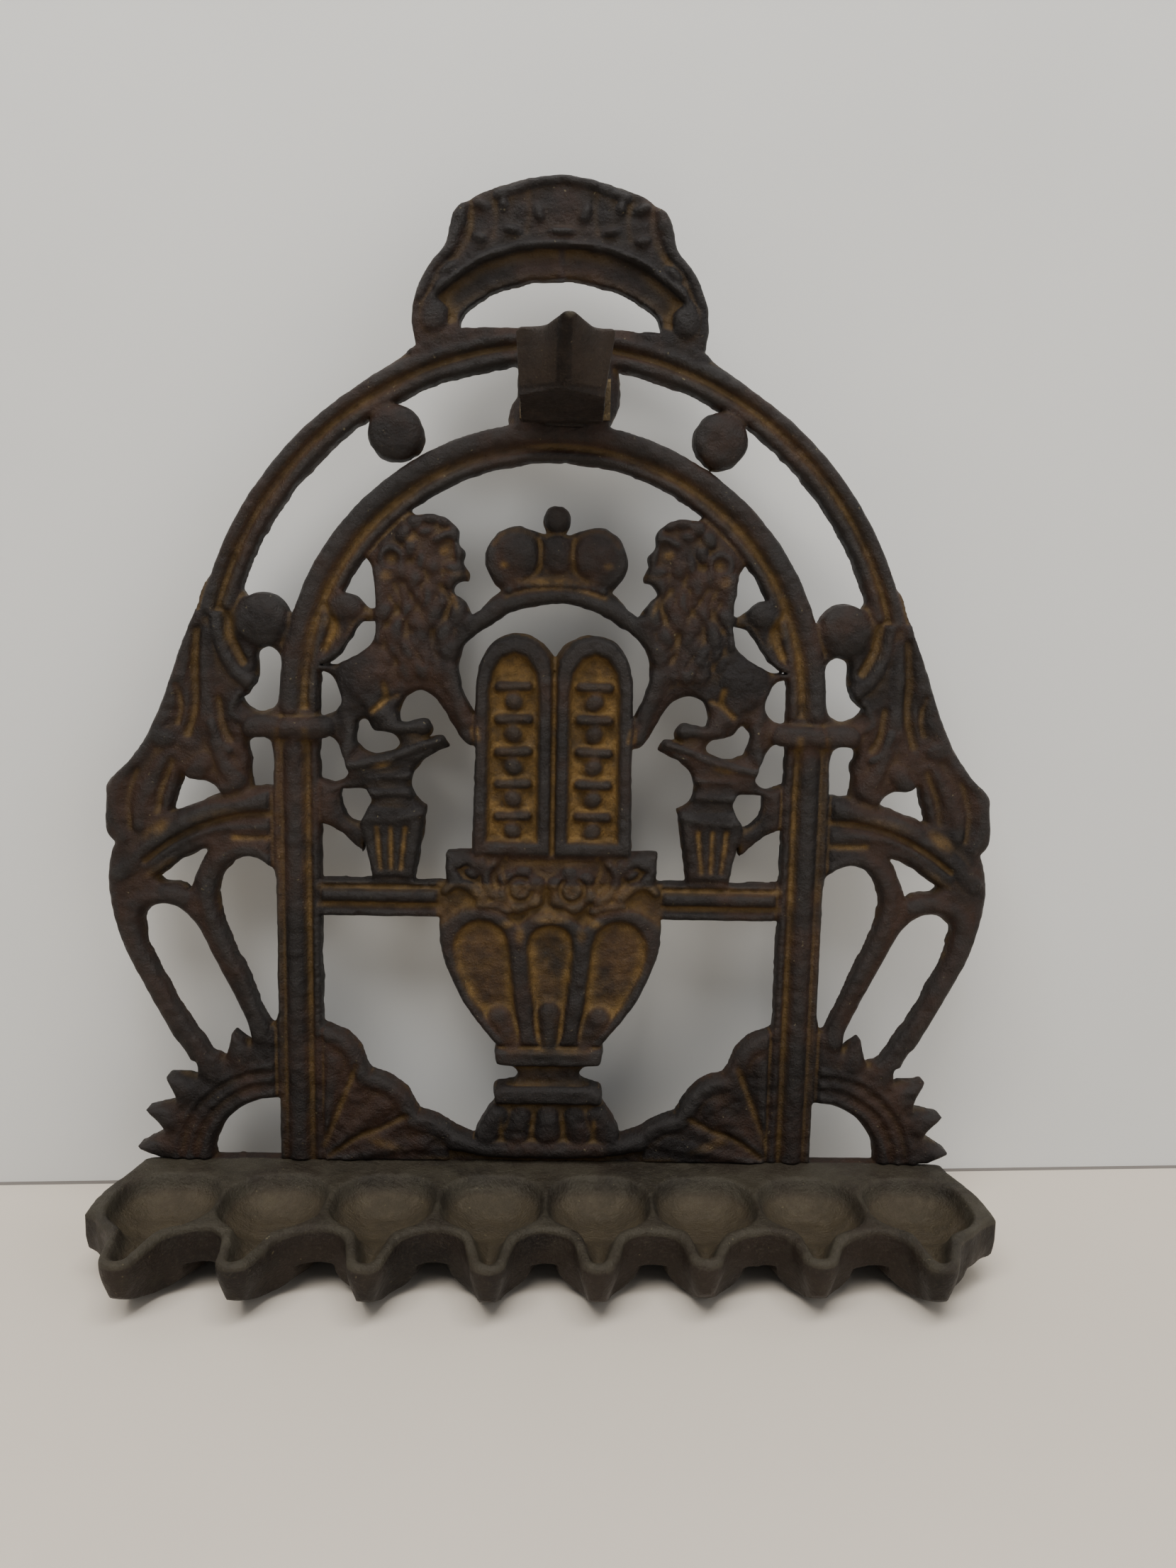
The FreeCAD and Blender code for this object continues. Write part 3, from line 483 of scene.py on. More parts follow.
def carve_leaves(r):
    """The leafy wings outside the pillars."""
    r.ridge([(90.2, 150), (93, 140), (96.6, 128), (100, 118), (103.6, 110)], 3.0, 6.4, 2.6)
    r.ridge([(90.8, 135), (90.6, 124), (90, 113), (88, 104), (85.6, 97.5)], 4.2, 6.2, 3.4)
    r.ridge([(86.5, 150), (87.6, 141), (86.4, 132.5), (83.2, 126.4), (79.2, 122.9)], 1.9, 6.9, 2.4)
    r.ridge([(82, 120.4), (84.4, 115.5), (80.8, 112.6)], 1.8, 6.2, 1.4)
    r.ridge([(89.2, 112.5), (87.6, 107.8), (84.8, 105.4)], 1.3, 7.1, base=5.4)
    r.mound((85.2, 95.8), (3.4, 2.3), 7.0, -20, base=4.6)
    r.mound((92.6, 101), (5.6, 3.2), 6.7, -40, base=4.6)
    r.mound((102.2, 108.2), (4.2, 3.4), 7.1, 20, base=4.6)
    r.ridge([(100.5, 103.5), (105.5, 97), (108.4, 91), (109, 85)], 3.3, 6.4, 3.0)
    r.ridge([(104.5, 107.5), (110, 101.5), (114.6, 96), (115.6, 88), (113.2, 81.5)], 2.6, 6.2, 2.4)
    r.groove([(92.9, 136), (93.6, 126), (93.8, 117), (95.8, 109.5)], 2.2, 1.7, gold=0.15)
    r.groove([(98.4, 122), (97.2, 116.5), (98.2, 112.2)], 1.6, 1.2, gold=0.12)
    r.groove([(85.3, 142), (83.9, 134.5), (80.9, 128.6)], 2.0, 1.6, gold=0.25)
    r.groove([(100, 102.4), (102.8, 95), (104.2, 88.6)], 1.8, 1.2, gold=0.1)
    r.groove([(109.3, 99.6), (111.8, 92), (111.4, 84)], 1.4, 0.7)
    r.groove([(87.6, 118.5), (86.6, 112), (84.6, 108.2)], 1.6, 1.1, gold=0.15)
    r.ridge([(88.4, 107.5), (86, 101.6), (83.6, 97.2)], 2.1, 7.2, 2.8, base=5.2)


def carve_shoulders(r):
    """The bands that sweep from the pillars out to the wings, over the flutes."""
    r.ridge([(74, 92.2), (84, 90.4), (93, 87.4), (101, 83.2), (108, 78.2), (114, 72)], 2.7, 6.6, 3.4)
    r.ridge([(74, 79.2), (84, 78.9), (93, 80.4), (100, 77.3), (106.5, 72.3)], 1.5, 5.8, 1.3)
    r.ridge([(74, 84.9), (84, 84.7), (93, 82.9), (101, 78.8), (108, 73.6)], 1.3, 6.1, 1.6)
    r.groove([(74, 88.4), (84, 87.5), (93, 84.8), (101, 80.6), (108, 75.4)], 1.3, 1.6, gold=0.3)
    r.groove([(75.5, 81.9), (80, 81.8), (84.4, 82)], 1.3, 0.9, gold=0.7)
    r.gild((104.5, 84), (5.5, 2.6), 0.5, turn=-35)
    r.gild((104, 73.6), (6.5, 1.6), 0.4, turn=-33)
    r.gild((88, 88.2), (11, 2.2), 0.25, turn=-10)


def carve_flutes(r):
    """The beaded rims of the two long openings beside each pillar."""
    r.ridge([(74.8, 75.4), (79.6, 78.4), (85, 77.9), (90, 73.4), (92.3, 65.5), (90.4, 58),
             (86.3, 49), (82, 40.5), (79.3, 33), (78.4, 27)], 2.3, 6.2, 2.9, base=4.4)
    r.ridge([(97.8, 65.2), (104, 66.2), (110.4, 64.4), (112.9, 58.5), (111.4, 50.5), (106.6, 41.4),
             (101.6, 32.6), (96.8, 25.2), (93.4, 20)], 2.5, 6.2, 3.6, base=4.4)
    r.ridge([(116, 66), (115.6, 60), (113, 50.5), (108.6, 42), (104, 33), (100.2, 26)],
            1.6, 5.8, 1.8, base=4.4)


def carve_sunbursts(r):
    for radius, width in ((19.4, 1.9), (23.4, 1.7), (27.2, 1.7)):
        r.ridge(on_circle(radius, 0, 93, 12, SUN), width, 6.3, base=4.2)
    for angle in np.arange(5, 90, 17):
        root, tip = (on_circle(d, angle, angle, 1, SUN)[0] for d in (29.5, 38.2))
        r.ridge([root, tip], 4.4, 6.3, 1.2, base=3.8)


def carve_fans(r, depth_inside):
    """Three scalloped petals that spread from the foot of each pillar."""
    fan = (abs(r.u) < 62) & (abs(r.u) > 20) & (r.v < 32) & (depth_inside > 0)
    rim = 3.7 + 2.6 * dome(abs(depth_inside - 2.6) / 3.0)
    r.height[fan] = np.minimum(np.maximum(r.height[fan], rim[fan]), 6.2)
    hub = (62.5, -9)
    for tip, width in (((58.4, 20.2), 3.6), ((45.8, 7.4), 4.6), ((33.8, -3), 3.6)):
        middle = [hub[k] * 0.45 + tip[k] * 0.55 for k in (0, 1)]
        r.ridge([hub, middle, tip], 0.8, 6.3, width, base=4.0)
    for mark in ([(61.4, -4), (57.4, 6), (54.2, 14.4), (52.4, 19)],
                 [(60, -7), (53, -2), (45.6, 0.8), (39.2, 4.4)]):
        r.groove(mark, 1.5, 1.0, gold=0.3)
    r.gild((46, -2.8), (9, 2), 0.35, turn=20)
    r.gild((31, -8), (7, 1.6), 0.3)


def carve_plinth(r):
    band = (abs(r.u) < 27) & (r.v < -1.5) & (r.v > ROW_TOP - 1)
    r.height[band] = GROOVE
    r.ridge([(0, -4.9), (14, -4.6), (25.5, -2.8)], 2.7, 7.2, base=4.6)
    r.ridge([(0, 0.2), (11, 0.3), (19.5, 1.4)], 1.2, 5.6, base=4.4)


def carve_urn(r):
    outline = [(0, 71), (26, 71), (30.4, 63), (30.4, 57), (29.8, 51.5), (27.6, 45), (24, 37.5),
               (19.5, 31.2), (14.8, 25.4)]
    ring = outline + mirrored(outline)[::-1]
    for w, depth in r.areas(ring, both=False, curved=False):
        swell = 2.9 * dome(np.clip(abs(r.u[w]) / 33, 0, 1))
        body = 4.8 + swell - 1.4 * (1 - dome(1 - np.clip(depth / 2.4, 0, 1)))
        r.height[w] = np.where(depth > 0, body, r.height[w])
    side = [(10.4, 53), (12.2, 58.2), (17, 61.2), (22.6, 60.2), (26.6, 55), (26.2, 48), (22.6, 39.5),
            (16.6, 31), (11, 26.2), (7.4, 27.2), (8.8, 38), (9.8, 47)]
    r.sink(side, 5.0, 1.5, gold=0.8)
    middle = [(0, 60.2), (4.4, 58.8), (6.7, 54.5), (6.3, 46), (5.2, 36), (3.4, 26), (-3.4, 26),
              (-5.2, 36), (-6.3, 46), (-6.7, 54.5), (-4.4, 58.8)]
    r.sink(middle, 5.3, 1.5, gold=0.8, both=False)
    for petal in (side, mirrored(side), middle):
        for w, depth in r.areas(petal, both=False, curved=False):
            r.gold[w] *= 1 - 0.62 * ease((depth - 1.2) / 2.6)
    r.ridge([(0, 24), (0, 30), (0, 34.6)], 2.4, 7.6, 3.5, base=5.2, both=False)
    r.ridge([(9.4, 24.5), (11.6, 29.4), (13.4, 32.6)], 2.4, 7.2, 4.0, base=5.0)
    lobes = (r.v > 24) & (r.v < 40) & (abs(r.u) < 20)
    r.gold[lobes] *= 1 - 0.9 * ease((r.height[lobes] - 5.5) / 1.0)
    r.gild((0, 61.5), (7.6, 1.8), 0.5, both=False)
    r.gild((8.2, 57), (1.8, 3.4), 0.5)
    r.plateau([(-15, 19.9), (15, 19.9), (15.2, 24.8), (-15.2, 24.8)], HIGH, 1.0, both=False,
              curved=False)
    r.gild((0, 24.4), (15, 1.2), 0.4, both=False)
    waist = (abs(r.u) < 14) & (r.v > 12) & (r.v < 19.8)
    r.height[waist] = 5.2 + 1.0 * ease((15.0 - r.v[waist]) / 3)
    r.plateau([(-15.2, 8.6), (15.2, 8.6), (15.2, 12.2), (12.4, 13.9), (-12.4, 13.9), (-15.2, 12.2)],
              7.6, 1.2, both=False, curved=False)
    skirt = (abs(r.u) < 20.5) & (r.v > -2) & (r.v < 8.4)
    r.height[skirt] = 5.0
    r.gild((4.4, 2), (0.9, 4), 0.6)
    r.gild((12.8, 2), (0.9, 4), 0.6)
    for foot, head in ((0, 0), (8.8, 7.6), (16.6, 13.4)):
        r.ridge([(foot, -0.2), (head, 5.2)], 3.9, 7.0, 3.4, base=4.9, both=foot > 0)


def carve_lintel(r):
    """The block on the urn, with two roses between leaves."""
    neck = (abs(r.u) < 30.5) & (r.v > 56) & (r.v < 71)
    arcs = np.interp(abs(r.u[neck]), [0, 5, 8.8, 12.5, 18, 24, 28, 30.5],
                     [63.2, 62.0, 59.0, 62.2, 64.2, 62.6, 59.5, 57.5])
    beyond = ease((r.v[neck] - arcs + 1.2) / 3.0)
    r.height[neck] = np.minimum(r.height[neck], 7.7 - 2.8 * beyond)
    r.gold[neck] = np.maximum(r.gold[neck], 0.35 * beyond)
    r.plateau([(-28.7, 70), (28.7, 70), (28.7, 79.5), (-28.7, 79.5)], 5.7, 1.0, both=False,
              curved=False)
    r.ridge([(-28, 78.2), (28, 78.2)], 1.3, 6.6, base=5.4, both=False)
    r.gild((0, 76.5), (24, 1.6), 0.3, both=False)
    for centre, spin in (((-8.3, 69.2), 1), ((5.6, 69.2), -1)):
        r.mound(centre, (6.7, 6.7), 7.9, base=4.9, both=False)
        for petal in on_circle(4.7, 20 * spin, 20 * spin + 300, 6, centre):
            r.mound(petal, (2.5, 2.2), 7.9, base=6.0, both=False)
        r.groove(on_circle(3.3, 60, 60 + 290 * spin, 12, centre), 0.9, 1.9, both=False)
        r.mound(centre, (2.2, 1.9), 7.9, base=6.0, both=False)
        r.groove(on_circle(0.9, 100, 100 - 200 * spin, 6, centre), 0.5, 1.1, both=False)
    for points, radius in (
            ([(13, 66), (16.6, 69), (17.4, 73.2), (15.4, 76.4)], 2.1),
            ([(18.4, 67.2), (22, 70), (25.6, 70.6), (28.2, 68.6)], 2.2),
            ([(18.6, 74.6), (22.6, 77), (27.4, 75.2), (25.2, 72.8)], 2.1),
            ([(11.4, 63.4), (15.2, 64.6), (19.4, 65)], 1.5)):
        r.ridge(points, radius, 7.6, 1.2, base=5.2)
    for centre, turn in (((21.4, 73.4), 30), ((24.8, 75.8), -20), ((18.2, 76.2), 60),
                         ((25.6, 72.2), 10)):
        r.mound(centre, (2.4, 1.3), 7.8, turn, base=5.6)
    r.groove([(12.2, 71.5), (13.2, 74.5), (12.2, 77.8)], 0.9, 0.9, gold=0.4)
    r.gild((11.5, 60.2), (4, 1.8), 0.7, turn=-25)
    r.gild((0.2, 63.3), (3.2, 2), 0.7, both=False)
    r.gild((22.5, 65.6), (4.5, 1.4), 0.7, turn=12)


def carve_tablets(r):
    """Two round-topped tablets; plain bars and lozenges stand in for their letters."""
    frame_line = [(0.4, 78.5), (0.4, 126), (1.6, 131), (5.2, 135.4), (10.4, 136.9), (15.4, 135.3),
                  (19.2, 131.2), (20.7, 124.5), (21.3, 78.5)]
    r.plateau(frame_line, 7.7, 0.9, curved=False)
    field = [(3.5, 81.6), (3.5, 122), (4.4, 127.5), (7, 131.4), (10.6, 132.8), (14.2, 131.4),
             (16.8, 127.5), (17.7, 122), (18, 81.6)]
    r.sink(field, 4.6, 1.3, gold=1.0, curved=False)
    r.groove([(0, 79), (0, 131)], 0.9, 1.8, gold=0.9, both=False)
    for v in (86.8, 95.4, 104.0, 112.6, 121.2):
        r.ridge([(6.9, v + 2.3), (14.4, v + 2.1)], 1.6, 7.0, base=4.5)
        r.mound((10.6, v - 1.7), (3, 2.7), 7.0, 45, base=4.5)
    marks = (abs(r.u) > 5.2) & (abs(r.u) < 16) & (r.v > 83) & (r.v < 126)
    r.gold[marks] *= 1 - 0.9 * ease((r.height[marks] - 5.3) / 1.0)
    r.ridge([(2.6, 80.3), (18.6, 80.3)], 1.1, 6.9, base=5.2)


def carve_crown(r):
    arch = [(0, 147.4), (7, 146.6), (13, 144.4), (18.4, 141.2), (23.4, 137.6)]
    r.ridge(arch, 2.6, 6.6, 2.9, base=4.4)
    r.mound((10.2, 156.8), (8.5, 8.3), 7.0, base=5.2)
    r.mound((9.6, 157.2), (5.2, 4.7), 7.8, base=6.2)
    r.groove(on_circle(6.6, 25, 250, 11, (10.2, 157)), 1.1, 1.0, gold=0.25)
    r.mound((0.2, 157.4), (4.4, 4.9), 7.4, base=5.6, both=False)
    r.mound((0.2, 157.4), (3, 1.7), 7.9, base=6.6, both=False)
    r.mound((0.1, 166.6), (3.6, 3.7), HIGH, base=5.2, both=False)
    r.groove([(4.6, 163), (4.2, 158), (4.8, 153)], 1.0, 0.9, gold=0.15)
    r.gild((13.5, 154.6), (1.6, 1.2), 0.9)
    for u in np.arange(-12, 12.1, 2.4):
        lift = 149.9 - 0.011 * u * u
        r.mound((u, lift), (1.25, 1), 6.9, base=5.2, both=False)
    r.groove([(0, 148.8), (7, 148.2), (13, 146.4)], 0.8, 0.7, gold=0.5)
    r.gild((0, 150.6), (13, 1.6), 0.7, both=False)


def carve_lions(r):
    """A lion on each side, with its head turned to the crown and a paw on the tablets."""
    r.ridge([(50, 128), (42, 131), (36, 137), (33, 144), (33, 152)], 6.5, 5.9, 8.0)
    r.mound((31.8, 158.6), (7.6, 8.2), 6.6, base=4.6)
    for centre, radii, turn in (
            ((25.8, 163.6), (1.7, 2.4), 15), ((28.6, 165.4), (2.2, 1.9), 0),
            ((32.4, 166), (2.5, 2), -8), ((36.2, 164.6), (2.2, 2.2), -35),
            ((39.2, 161.8), (2, 2.6), 30), ((33.6, 162.6), (2.6, 1.5), -12), ((37.4, 158.4), (1.9, 3), 12),
            ((34.8, 155.2), (1.6, 3.4), 8), ((39.6, 152.2), (2, 2.8), -10)):
        r.mound(centre, radii, 7.5, turn, base=5.4)
    r.ridge([(24.9, 161.4), (28, 161.8), (31.2, 160.4)], 1.5, 7.8, 1.0, base=5.6)
    r.ridge([(25.3, 160.6), (24.8, 157.6), (24.2, 155.4)], 1.4, 7.7, 1.9, base=5.4)
    r.mound((26.8, 153.2), (3.6, 2.3), 7.5, -8, base=5.0)
    r.mound((31.6, 153.8), (2.6, 2.8), 7.2, base=5.2)
    r.sink(on_circle(1.7, 0, 330, 10, (28.9, 157.9)), 5.4, 1.2, gold=0.9)
    r.mound((28.8, 157.9), (1.1, 1), 6.8, base=5.4)
    r.groove([(22.9, 152.4), (26.2, 151.9), (29.2, 152.9)], 0.8, 1.1, gold=0.2)
    r.ridge(on_circle(2.7, 0, 330, 10, (42.4, 155.6)), 1.1, 7.0, base=4.8, closed=True)
    r.gild((42.4, 155.6), (1.2, 0.9), 0.8)
    r.gild((43.5, 151.2), (2.2, 2), 0.6)
    r.gild((37.4, 160.8), (1.8, 1.3), 0.6)
    locks = (
        (150.2, (45.0, 42.2, 36.4, 30.6, 26.4)), (146.0, (46.0, 40.0, 34.0, 28.6, 24.6)),
        (141.6, (44.2, 37.6, 31.4, 25.8)), (137.0, (45.2, 41.0, 34.8, 29.0, 24.4)),
        (132.4, (42.6, 37.6, 32.2, 27.4)), (128.4, (39.0, 34.6, 30.2)),
    )
    for row, (v, places) in enumerate(locks):
        for number, u in enumerate(places):
            sway = 18 * math.sin(2.1 * row + 1.7 * number) + (33 - u) * 0.9
            lift = 0.35 * math.sin(3.7 * number + row)
            r.mound((u, v + lift), (2.7 + lift, 4.3), 7.1 + lift, sway, base=5.3)
    for start in (42.6, 36.6, 29.8):
        strand = [(start + 2.4 * math.sin(1.3 * step + 2 * start), 149 - 4 * step)
                  for step in range(6)]
        r.groove(strand, 1.5, 1.0)
    r.gild((26, 144.8), (1, 3.8), 0.5, turn=-20)
    r.mound((49.8, 124.6), (7.6, 8.4), 6.9, base=4.6)
    r.ridge([(49, 121), (45.6, 116.4), (42.4, 113.4)], 4.2, 6.7, 3.0)
    r.ridge([(43.5, 112.6), (39.4, 112.2), (35.2, 112.6)], 2.4, 6.9, 2.0)
    r.mound((34.8, 112.6), (2.6, 2.3), 7.2, base=5.0)
    r.groove([(44.6, 123.2), (44.2, 119.6), (47.4, 116.2)], 1.3, 1.3, gold=1.0)
    r.groove([(44.2, 119.2), (41.2, 120.4)], 0.9, 0.8, gold=0.8)
    r.ridge([(28.6, 127.5), (25.4, 121.6), (23, 115.4), (21.6, 110.4)], 3.6, 6.9, 2.7, base=4.8)
    for shift in (-1, 0.6):
        r.groove([(21.0 + shift, 112.4), (20.6 + shift, 109.2)], 0.6, 0.8, gold=0.7)
    r.ridge([(25.8, 139.6), (22.6, 140.6)], 3.2, 6.8, 2.4, base=4.6)
    r.ridge([(56, 122), (54.2, 115), (53.6, 109), (55.2, 103)], 2.8, 6.2, 2.4)
    r.ridge([(60.6, 128.2), (56.4, 131), (52.8, 135.2), (50.2, 139)], 2.0, 6.3, 1.5)
    r.groove([(59.4, 143.2), (57.2, 138.4), (59.6, 132.4)], 1.8, 1.4, gold=0.9)


def carve_pedestals(r):
    """The basket-shaped stands under the lions."""
    r.ridge([(55.6, 101.4), (48.8, 102.6), (42, 104.4), (35.6, 107), (29.6, 109)], 1.5, 6.8, 1.1,
            base=5.0)
    r.ridge([(53, 99.5), (46, 101), (39.4, 103.4), (32.6, 106)], 1.9, 5.9, 1.4)
    r.ridge([(37.6, 99.2), (48.6, 98.8)], 1.2, 6.2)
    r.ridge([(37.4, 94.8), (49, 94.4)], 1.5, 6.5)
    r.plateau([(34.2, 91), (34.4, 86), (36.4, 71.5), (48.2, 71.5), (51.4, 86.6), (49.4, 91.4)],
              6.4, 1.8, curved=False)
    r.ridge([(34.4, 89.2), (42, 87.8), (50.6, 87.6)], 1.2, 6.9, base=5.6)
    for u0, u1 in ((39, 40.2), (42.8, 42.8), (46.6, 45.6)):
        r.groove([(u0, 85.2), (u1, 74.4)], 1.1, 1.3, gold=0.8)
    r.ridge([(61.6, 85.2), (57, 83.4), (53.2, 80.6), (50.4, 78)], 1.5, 5.7, 1.2)
    r.ridge([(52.2, 87.4), (55, 89.8), (55.6, 94.8)], 1.2, 5.7)
    r.gild((58.5, 83.4), (3, 1.2), 0.8, turn=25)
    r.gild((45, 102.2), (4, 1.2), 0.6, turn=-15)


def carve_servant_lug(r):
    block = (r.v > 188.5) & (r.v < 207.5) & (r.u > -11.4) & (r.u < 13.2)
    r.height[block] = 6.5


def build_backplate(material):
    margin = 2 * PLATE_STEP
    low = (PLATE_LOW[0] - margin, PLATE_LOW[2] - FOOT_LINE - margin)
    high = (PLATE_HIGH[0] + margin, PLATE_HIGH[2] - FOOT_LINE + margin)
    r = Relief(low, high, PLATE_STEP, WEB)
    inside = cad_silhouette("backplate", r)
    hollow, rim_rise, rim_width = 3.4, 2.2, 3.2
    r.height = hollow + rim_rise * dome(1 - np.clip(inside / rim_width, 0, 1))
    r.height[r.v < ROW_TOP] = WEB
    carve_leaves(r)
    carve_shoulders(r)
    carve_flutes(r)
    carve_sunbursts(r)
    carve_fans(r, inside)
    carve_plinth(r)
    carve_pedestals(r)
    carve_crossbars(r)
    carve_pillars(r)
    carve_arches(r)
    carve_lions(r)
    carve_crown(r)
    carve_urn(r)
    carve_lintel(r)
    carve_tablets(r)
    carve_balls(r)
    carve_crest(r)
    carve_servant_lug(r)
    skirt = r.v < ROW_TOP - 0.2
    r.height[skirt] = WEB

    recess_reach = max(1, int(2.2 / PLATE_STEP))
    recess = blurred(r.height, recess_reach) - r.height

    def wave(cell, seed):
        return rumple(r.u.shape, PLATE_STEP, cell, seed)

    swell = 0.20 * wave(5.0, 3) + 0.24 * wave(1.8, 4)
    rough = np.where(skirt, 0.0, 1.0)
    front = blurred(r.height, 1, 1) + swell * rough
    edge = 1.5
    front -= edge * (1 - dome(1 - np.clip(inside / edge, 0, 1))) * rough
    front = np.minimum(front, HIGH + 0.05)
    wander = 0.26 * wave(3.4, 5) + 0.20 * wave(1.4, 6)
    plan = inside + (wander - 0.15) * rough * (inside < 3)

    depths = np.arange(-DEPTH_STEP, HIGH + 2 * DEPTH_STEP, DEPTH_STEP)
    back = 0.12 + 0.12 * wave(9.0, 7)
    field = np.minimum(plan[:, None, :], np.minimum(front[:, None, :] - depths[None, :, None],
                                                    depths[None, :, None] - back[:, None, :]))
    vertices, quads = surface_nets(field.astype(np.float32), (r.low[0], 0, r.low[1]),
                                   (PLATE_STEP, DEPTH_STEP, PLATE_STEP))
    on_front = ease((vertices[:, 1] - 1.5) / 1.5)
    attributes = {
        "recess": sampled(recess, r, vertices[:, 0], vertices[:, 2]) * on_front,
        "gold": sampled(r.gold, r, vertices[:, 0], vertices[:, 2]) * on_front,
    }
    vertices[:, 1] = BACK_Y - vertices[:, 1]
    vertices[:, 2] += FOOT_LINE
    piece = make_piece("cast_backplate", vertices, quads[:, ::-1], attributes, material)
    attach(piece, "lamp")
    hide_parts("backplate")


# ---- Pans ----

def pear(u, v, centre, radius, tip, tip_radius):
    """Distance inside the outline round a large and a small circle."""
    run = np.array(tip, float) - centre
    length = math.hypot(*run)
    ahead = run / length
    du, dv = u - centre[0], v - centre[1]
    along = du * ahead[0] + dv * ahead[1]
    across = abs(du * ahead[1] - dv * ahead[0])
    slope = (radius - tip_radius) / length
    side = math.sqrt(1 - slope ** 2)
    turn = side * along - slope * across
    body = across * side + along * slope - radius
    start = np.hypot(across, along) - radius
    end = np.hypot(across, along - length) - tip_radius
    return -np.where(turn < 0, start, np.where(turn > side * length, end, body))


def rounded_box(x, y, centre, half, corner):
    """Distance inside a rectangle with round corners."""
    dx = abs(x - centre[0]) - half[0] + corner
    dy = abs(y - centre[1]) - half[1] + corner
    outside = np.hypot(np.maximum(dx, 0), np.maximum(dy, 0))
    return corner - outside - np.minimum(np.maximum(dx, dy), 0)


def well_and_rim(r, vertices, well, upper, wall):
    """How far each vertex lies inside a well, and whether it lies on the upper surface."""
    x, y, z = vertices.T
    return sampled(ease(well / wall), r, x, y), ease((z - sampled(upper, r, x, y) + 1.5) / 1.2)


def build_row(material):
    """Eight broad wells whose thin walls run out into the spouts; rounded pans hang below."""
    margin = 2 * ROW_STEP
    r = Relief((ROW_LOW[0] - 4, ROW_LOW[1] - 3), (ROW_HIGH[0] + 4, ROW_HIGH[1] + margin), ROW_STEP,
               ROW_HIGH[2])
    x, y = r.u, r.v
    top, tip_y = ROW_HIGH[2], ROW_LOW[1]
    wall, valley_bottom, prow_bottom = 2.9, 8.6, 5.9
    well = np.full(x.shape, -50.0)
    shell = np.full(x.shape, -50.0)
    under = np.full(x.shape, 30.0)
    for number, (lean, shortfall) in enumerate(zip(SPOUT_LEANS, SPOUT_SHORTFALLS)):
        place = (number - 3.5) * WELL_PITCH
        tip = (place + lean, tip_y + 3.0 + shortfall)
        basin = rounded_box(x, y, (place + lean * 0.15, WELL_Y - 0.9), (12.9, 13.2), 10.6)
        throat = pear(x, y, (place + lean * 0.3, WELL_Y - 7), 6.0, tip, 1.7)
        inside = soft_max(basin, throat, 3.0)
        well = np.maximum(well, inside)
        shell = soft_max(shell, inside + wall, 9.0)
        ahead = np.clip((WELL_Y - 2 - y) / (WELL_Y - 2 - tip[1]), 0, 1.15)
        half = 14.4 - 8.6 * ahead
        axis = np.clip(abs(x - place - lean * ahead) / half, 0, 1)
        keel = prow_bottom * ahead ** 2.6
        flank = 1 - np.sqrt(1 - axis ** 2)
        under = np.minimum(under, keel + np.maximum(valley_bottom - keel, 0) * flank)
    end = ROW_HIGH[0] - 2.0 + 4.4 * ease((ROW_HIGH[1] - y) / 24) - abs(x)
    slab = np.minimum(end, np.minimum(ROW_HIGH[1] - y, y - WELL_Y + 9))
    plan = soft_max(shell, slab, 3.0)
    plan = np.minimum(-soft_max(-plan, -end, 5.0), ROW_HIGH[1] - y)

    rim = 1.2
    droop = 1.5 * ease((WELL_Y - 13 - y) / 14)
    upper = top - droop - rim * (1 - dome(1 - np.clip(plan / rim, 0, 1)))
    floor = top - droop - 7.4 * np.clip(well / 8.0, 0, 1) ** 0.5
    shoulder = 0.8 * (1 - dome(1 - np.clip(-well / 1.3, 0, 1)))
    upper = np.where(well > 0, floor - 0.8, upper - np.where(well > -1.3, shoulder, 0))
    swell = 0.22 * rumple(x.shape, ROW_STEP, 6.0, 11) + 0.12 * rumple(x.shape, ROW_STEP, 1.8, 12)
    upper = np.minimum(blurred(upper, 1, 1) + swell, top)
    under += 0.2 * rumple(x.shape, ROW_STEP, 4.0, 13) * (under > 0.5)
    under = np.minimum(under, valley_bottom + 1)
    plan = plan + 0.22 * rumple(x.shape, ROW_STEP, 4.5, 14) - 0.15

    heights = np.arange(-1.0, top + 1.2, ROW_STEP)
    levels = heights[None, None, :]
    beak = ease((WELL_Y - 11 - y) / 9)[:, :, None]
    taper = 3.0 * (1 - 0.7 * beak) * ease((13 - levels) / 13) ** 1.3
    taper = taper + 2.1 * beak * ease((15.5 - levels) / 11)
    field = np.minimum((plan[:, :, None] - taper),
                       np.minimum(upper[:, :, None] - levels, levels - under[:, :, None]))
    vertices, quads = surface_nets(field.astype(np.float32), (r.low[0], r.low[1], heights[0]),
                                   (ROW_STEP,) * 3)
    inner, high_side = well_and_rim(r, vertices, well, upper, 2.4)
    # Painted light: vertices on the row's upper surface outside the wells get a negative recess, which
    # paints them lighter as if lit from above, through the same channel as wear on high places; the walls
    # and underside stay dark.
    attributes = {
        "recess": high_side * (inner * 0.9 - 0.8),
        "gold": np.zeros(len(vertices)),
        "bowl_and_nib_highlight": inner * high_side,
    }
    piece = make_piece("cast_oil_row", vertices, quads, attributes, material)
    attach(piece, "lamp")
    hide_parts("oil_pan_row")


